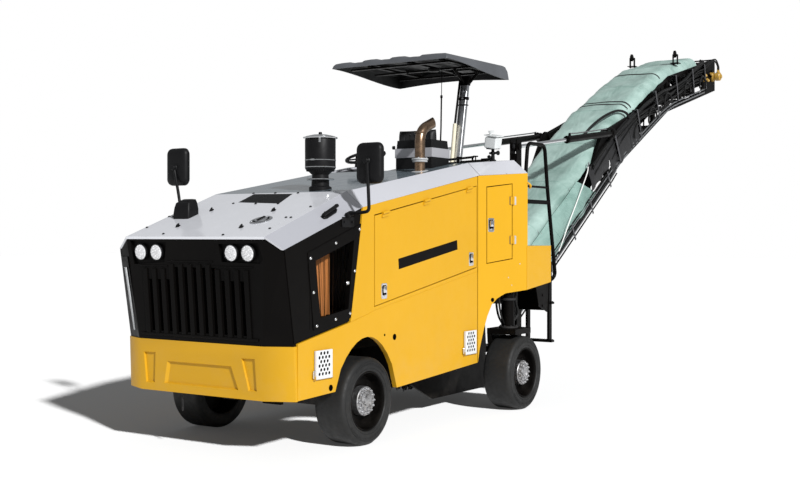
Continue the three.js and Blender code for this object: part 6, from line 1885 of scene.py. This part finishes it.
# ------------------------------------------------------------------ ladders, rear steps and boxes
ladder = Build()
y = 0.950
ladder.tube([(-2.3443, y, 2.010), (-2.400, y, 2.400), (-2.750, y, 2.400), (-2.810, y, 2.000),
             (-2.950, y + 0.015, 1.180),
             (-2.900, y, 1.130), (-2.7943, y, 1.150)], 0.0175, 18, corner=0.07, steps=8)
ladder.bar((-2.344, y, 2.005), (-2.808, y, 2.005), 0.0108, 14)
ladder.box(-2.838, -2.327, y - 0.0135, y + 0.0135, 1.846, 1.884)
ladder.bar((-2.341, y, 1.850), (-2.341, y, 2.020), 0.0138, 14)
for yy in (0.745, 0.970):
    ladder.box(-2.845, -2.786, yy - 0.0115, yy + 0.0115, 0.560, 1.300)
    for z in (1.16, 1.26):
        ladder.bolt((-2.815, yy + 0.0115, z), (0, 1, 0), 0.010, 0.008)
for z in (0.560, 0.920):
    ladder.box(-2.860, -2.796, 0.735, 1.000, z - 0.013, z + 0.007)
    for k in range(12):
        ladder.box(-2.856, -2.800, 0.742 + 0.022 * k, 0.750 + 0.022 * k, z + 0.007, z + 0.0135)
pair("ladder_tubes", ladder, ["black_paint"], "chassis", replaces=["ladder"], bevel=0.0015, smooth=40)
boxes = Build()
boxes.slab([(-2.775, 0.985, 1.112), (-2.500, 0.985, 1.088), (-2.560, 0.985, 0.905), (-2.740, 0.985, 0.835)],
           (0, -0.008, 0))
boxes.slab([(-2.783, 0.660, 1.112), (-2.783, 0.990, 1.112), (-2.768, 0.990, 0.850), (-2.768, 0.660, 0.850)],
           (0.008, 0, 0))
for z in (0.90, 1.00):
    boxes.bolt((-2.640, 0.985, z), (0, 1, 0), 0.010, 0.007)
pair("rear_corner_plates", boxes, ["black_paint"], "chassis", bevel=0.002)

# ------------------------------------------------------------------ rear legs: column hoses and rings
legs = Build()
for z in (0.98, 1.085):
    legs.lathe([(0.0545, -0.012), (0.064, -0.008), (0.064, 0.008), (0.0545, 0.012)], (REAR_AXLE_X, LEG_Y, z),
               (0, 0, 1), 36, caps=False)
legs.lathe([(0.0545, 0), (0.086, 0), (0.088, 0.006), (0.086, 0.014), (0.0545, 0.016)],
           (REAR_AXLE_X, LEG_Y, 0.7225), (0, 0, 1), 36,
           caps=False)
for k in range(8):
    a = 2 * math.pi * k / 8
    legs.bolt((REAR_AXLE_X + 0.075 * math.cos(a), LEG_Y + 0.075 * math.sin(a), 0.7385), (0, 0, 1), 0.008,
              0.008)
pair("rear_leg_rings", legs, ["cast_grey"], "chassis")
for side in ("left", "right"):
    refined(f"rear_leg_{side}", bevel=0.004, smooth=30)
lines = Build()
for dx, dy, r in ((-0.095, 0.03, 0.011), (-0.120, -0.01, 0.009), (0.110, -0.06, 0.010),
                  (0.130, -0.02, 0.009)):
    x = REAR_AXLE_X + dx
    lines.tube(smooth_path([(x, LEG_Y + dy, 1.106), (x + 0.01, LEG_Y + dy, 0.96),
                            (x - 0.015, 0.865 + dy, 0.84),
                            (x * 0.3 - 2.2 * 0.7, 0.848 + dy * 0.5, 0.748)], 8), r, 10)
pair("rear_leg_hoses", lines, ["hose"], "chassis", slot="black_plastic")

# ------------------------------------------------------------------ drum, housing, frame and axle
drum = Build()
DRUM = Vector((-2.200, -0.170, 0.425))
drum.lathe([(0.060, -0.525), (0.060, -0.500), (0.300, -0.500), (0.308, -0.494), (0.308, 0.494),
            (0.300, 0.500), (0.060, 0.500),
            (0.060, 0.525)], DRUM, (0, 1, 0), 96)
random.seed(5)
for k in range(104):
    along = -0.480 + 0.960 * k / 103
    angle = k * 2.399 if abs(along) > 0.42 else (1 if along > 0 else -1) * k * 0.62
    out = Vector((math.cos(angle), 0, math.sin(angle)))
    tangent = Vector((-math.sin(angle), 0, math.cos(angle)))
    foot = DRUM + out * 0.302 + Vector((0, along, 0))
    lean = (out * 0.80 + tangent * 0.60).normalized()
    drum.placed_box(facing(foot + out * 0.014, (0, 1, 0), lean), 0.034, 0.052, 0.044)
    drum.lathe([(0.0105, 0.0), (0.0130, 0.012), (0.0130, 0.020), (0.0075, 0.030), (0.0070, 0.040),
                (0.0020, 0.052)],
               foot + out * 0.022, lean, 10, 1)
piece("drum_and_picks", drum, ["cast_grey", "bare_steel"], "milling_drum", replaces=["milling_drum"],
      weld=False, smooth=30)
for name in ("drum_housing", "main_frame", "front_axle", "knuckle_left", "knuckle_right", "engine_block",
             "radiator",
             "platform", "seat_base", "steering_column"):
    refined(name, bevel=0.004 if name != "engine_block" else 0.012)
under_bits = Build()
under_bits.slab([(-1.330, 0.362, 0.300), (-1.330, 0.362, 0.420), (-1.480, 0.362, 0.520),
                 (-1.600, 0.362, 0.420)], (0, 0.006, 0))
for x, z in ((-1.40, 0.36), (-1.50, 0.46), (-1.62, 0.40), (-1.70, 0.60), (-1.78, 0.72), (-2.52, 0.72),
             (-2.52, 0.55)):
    under_bits.bolt((x, 0.3702, z), (0, 1, 0), 0.013, 0.009)
for k in range(3):
    under_bits.tube(smooth_path([(-1.52 - 0.05 * k, 0.372, 0.58), (-1.45 - 0.05 * k, 0.395, 0.66),
                                 (-1.40, 0.40, 0.76),
                                 (-1.38, 0.38, 0.83)], 8), 0.009, 10)
piece("housing_fittings", under_bits, ["cast_grey"], "chassis")
shields = Build()
shields.slab([(-1.690, 0.474, 0.420), (-1.690, 0.474, 1.080), (-2.100, 0.474, 1.080), (-2.100, 0.474, 0.780),
              (-2.000, 0.474, 0.480), (-1.900, 0.474, 0.420)], (0, 0.004, 0))
shields.slab([(-1.690, 0.474, 0.412), (-1.690, 0.474, 0.420), (-1.900, 0.474, 0.420),
              (-1.900, 0.474, 0.412)], (0, 0.030, 0))
for x, z in ((-1.74, 0.50), (-1.74, 0.98), (-2.04, 0.98), (-1.94, 0.52)):
    shields.bolt((x, 0.478, z), (0, 1, 0), 0.009, 0.007)
pair("wheel_well_shields", shields, ["black_paint"], "chassis")
links = Build()
links.tube([(-0.172, -0.520, 0.362), (-0.172, 0.520, 0.362)], 0.014, 16)
for side in (1, -1):
    links.lathe([(0.024, -0.020), (0.026, -0.014), (0.026, 0.014), (0.024, 0.020)],
                (-0.172, side * 0.520, 0.362), (0, 0, 1), 24)
    links.tube(smooth_path([(0.02, side * 0.46, 0.42), (0.04, side * 0.44, 0.52), (0.05, side * 0.36, 0.60),
                            (0.05, side * 0.33, 0.66)], 8), 0.008, 10)
piece("axle_hoses_and_link", links, ["cast_grey"], "chassis")

# ------------------------------------------------------------------ what is left takes its finish as it is
for name, obj in NODES.items():
    if not obj.hide_render:
        refined(name)

# ------------------------------------------------------------------ floor and light
SUN_ENERGY, FLOOR_SUN_ENERGY, SKY_STRENGTH = 4.3, 14.0, 0.32
SUN_DIRECTION = Vector((-0.75, -1.52, -1.0))
FLOOR_GREY, FLOOR_GLOW = 0.30, 0.04


def show_to_camera(tree, lit, shown, output):
    """Camera rays and rays through glass meet shown, all other rays meet lit."""
    ray = tree.nodes.new("ShaderNodeLightPath")
    seen = tree.nodes.new("ShaderNodeMath")
    seen.operation = "MAXIMUM"
    pick = tree.nodes.new("ShaderNodeMixShader")
    tree.links.new(ray.outputs["Is Camera Ray"], seen.inputs[0])
    tree.links.new(ray.outputs["Is Transmission Ray"], seen.inputs[1])
    tree.links.new(seen.outputs[0], pick.inputs[0])
    tree.links.new(lit.outputs[0], pick.inputs[1])
    tree.links.new(shown.outputs[0], pick.inputs[2])
    tree.links.new(pick.outputs[0], tree.nodes[output].inputs["Surface"])


floor_mesh = bpy.data.meshes.new("floor")
floor_mesh.from_pydata([(-60, -60, 0), (60, -60, 0), (60, 60, 0), (-60, 60, 0)], [], [(0, 1, 2, 3)])
floor = bpy.data.objects.new("floor", floor_mesh)
scene.collection.objects.link(floor)
floor_look = bpy.data.materials.new("floor")
floor_look.use_nodes = True
tree = floor_look.node_tree
diffuse = tree.nodes["Principled BSDF"]
diffuse.inputs["Base Color"].default_value = (FLOOR_GREY, FLOOR_GREY, FLOOR_GREY, 1)
diffuse.inputs["Roughness"].default_value = 0.9
diffuse.inputs["Specular IOR Level"].default_value = 0.0
glow = tree.nodes.new("ShaderNodeEmission")
glow.inputs["Strength"].default_value = FLOOR_GLOW
both = tree.nodes.new("ShaderNodeAddShader")
tree.links.new(diffuse.outputs[0], both.inputs[0])
tree.links.new(glow.outputs[0], both.inputs[1])
show_to_camera(tree, diffuse, both, "Material Output")
floor_mesh.materials.append(floor_look)

world = bpy.data.worlds.new("studio")
scene.world = world
world.use_nodes = True
tree = world.node_tree
sky = tree.nodes["Background"]
sky.inputs["Color"].default_value = (0.96, 0.98, 1.0, 1)
sky.inputs["Strength"].default_value = SKY_STRENGTH
backdrop = tree.nodes.new("ShaderNodeBackground")
backdrop.inputs["Color"].default_value = (1, 1, 1, 1)
backdrop.inputs["Strength"].default_value = 1.0
show_to_camera(tree, sky, backdrop, "World Output")

sun = bpy.data.objects.new("sun", bpy.data.lights.new("sun", "SUN"))
scene.collection.objects.link(sun)
sun.data.energy = SUN_ENERGY
sun.data.angle = math.radians(3)
sun.rotation_euler = SUN_DIRECTION.to_track_quat("-Z", "Y").to_euler()

# A second sun, linked to the grey floor alone, makes it pale and leaves the shadow dark.
# Some of its light bounces from the floor onto the object.
floor_sun = bpy.data.objects.new("floor_sun", bpy.data.lights.new("floor_sun", "SUN"))
scene.collection.objects.link(floor_sun)
floor_sun.data.energy = FLOOR_SUN_ENERGY
floor_sun.data.angle = sun.data.angle
floor_sun.rotation_euler = sun.rotation_euler
floor_only = bpy.data.collections.new("floor_only")
floor_only.objects.link(floor)
floor_sun.light_linking.receiver_collection = floor_only
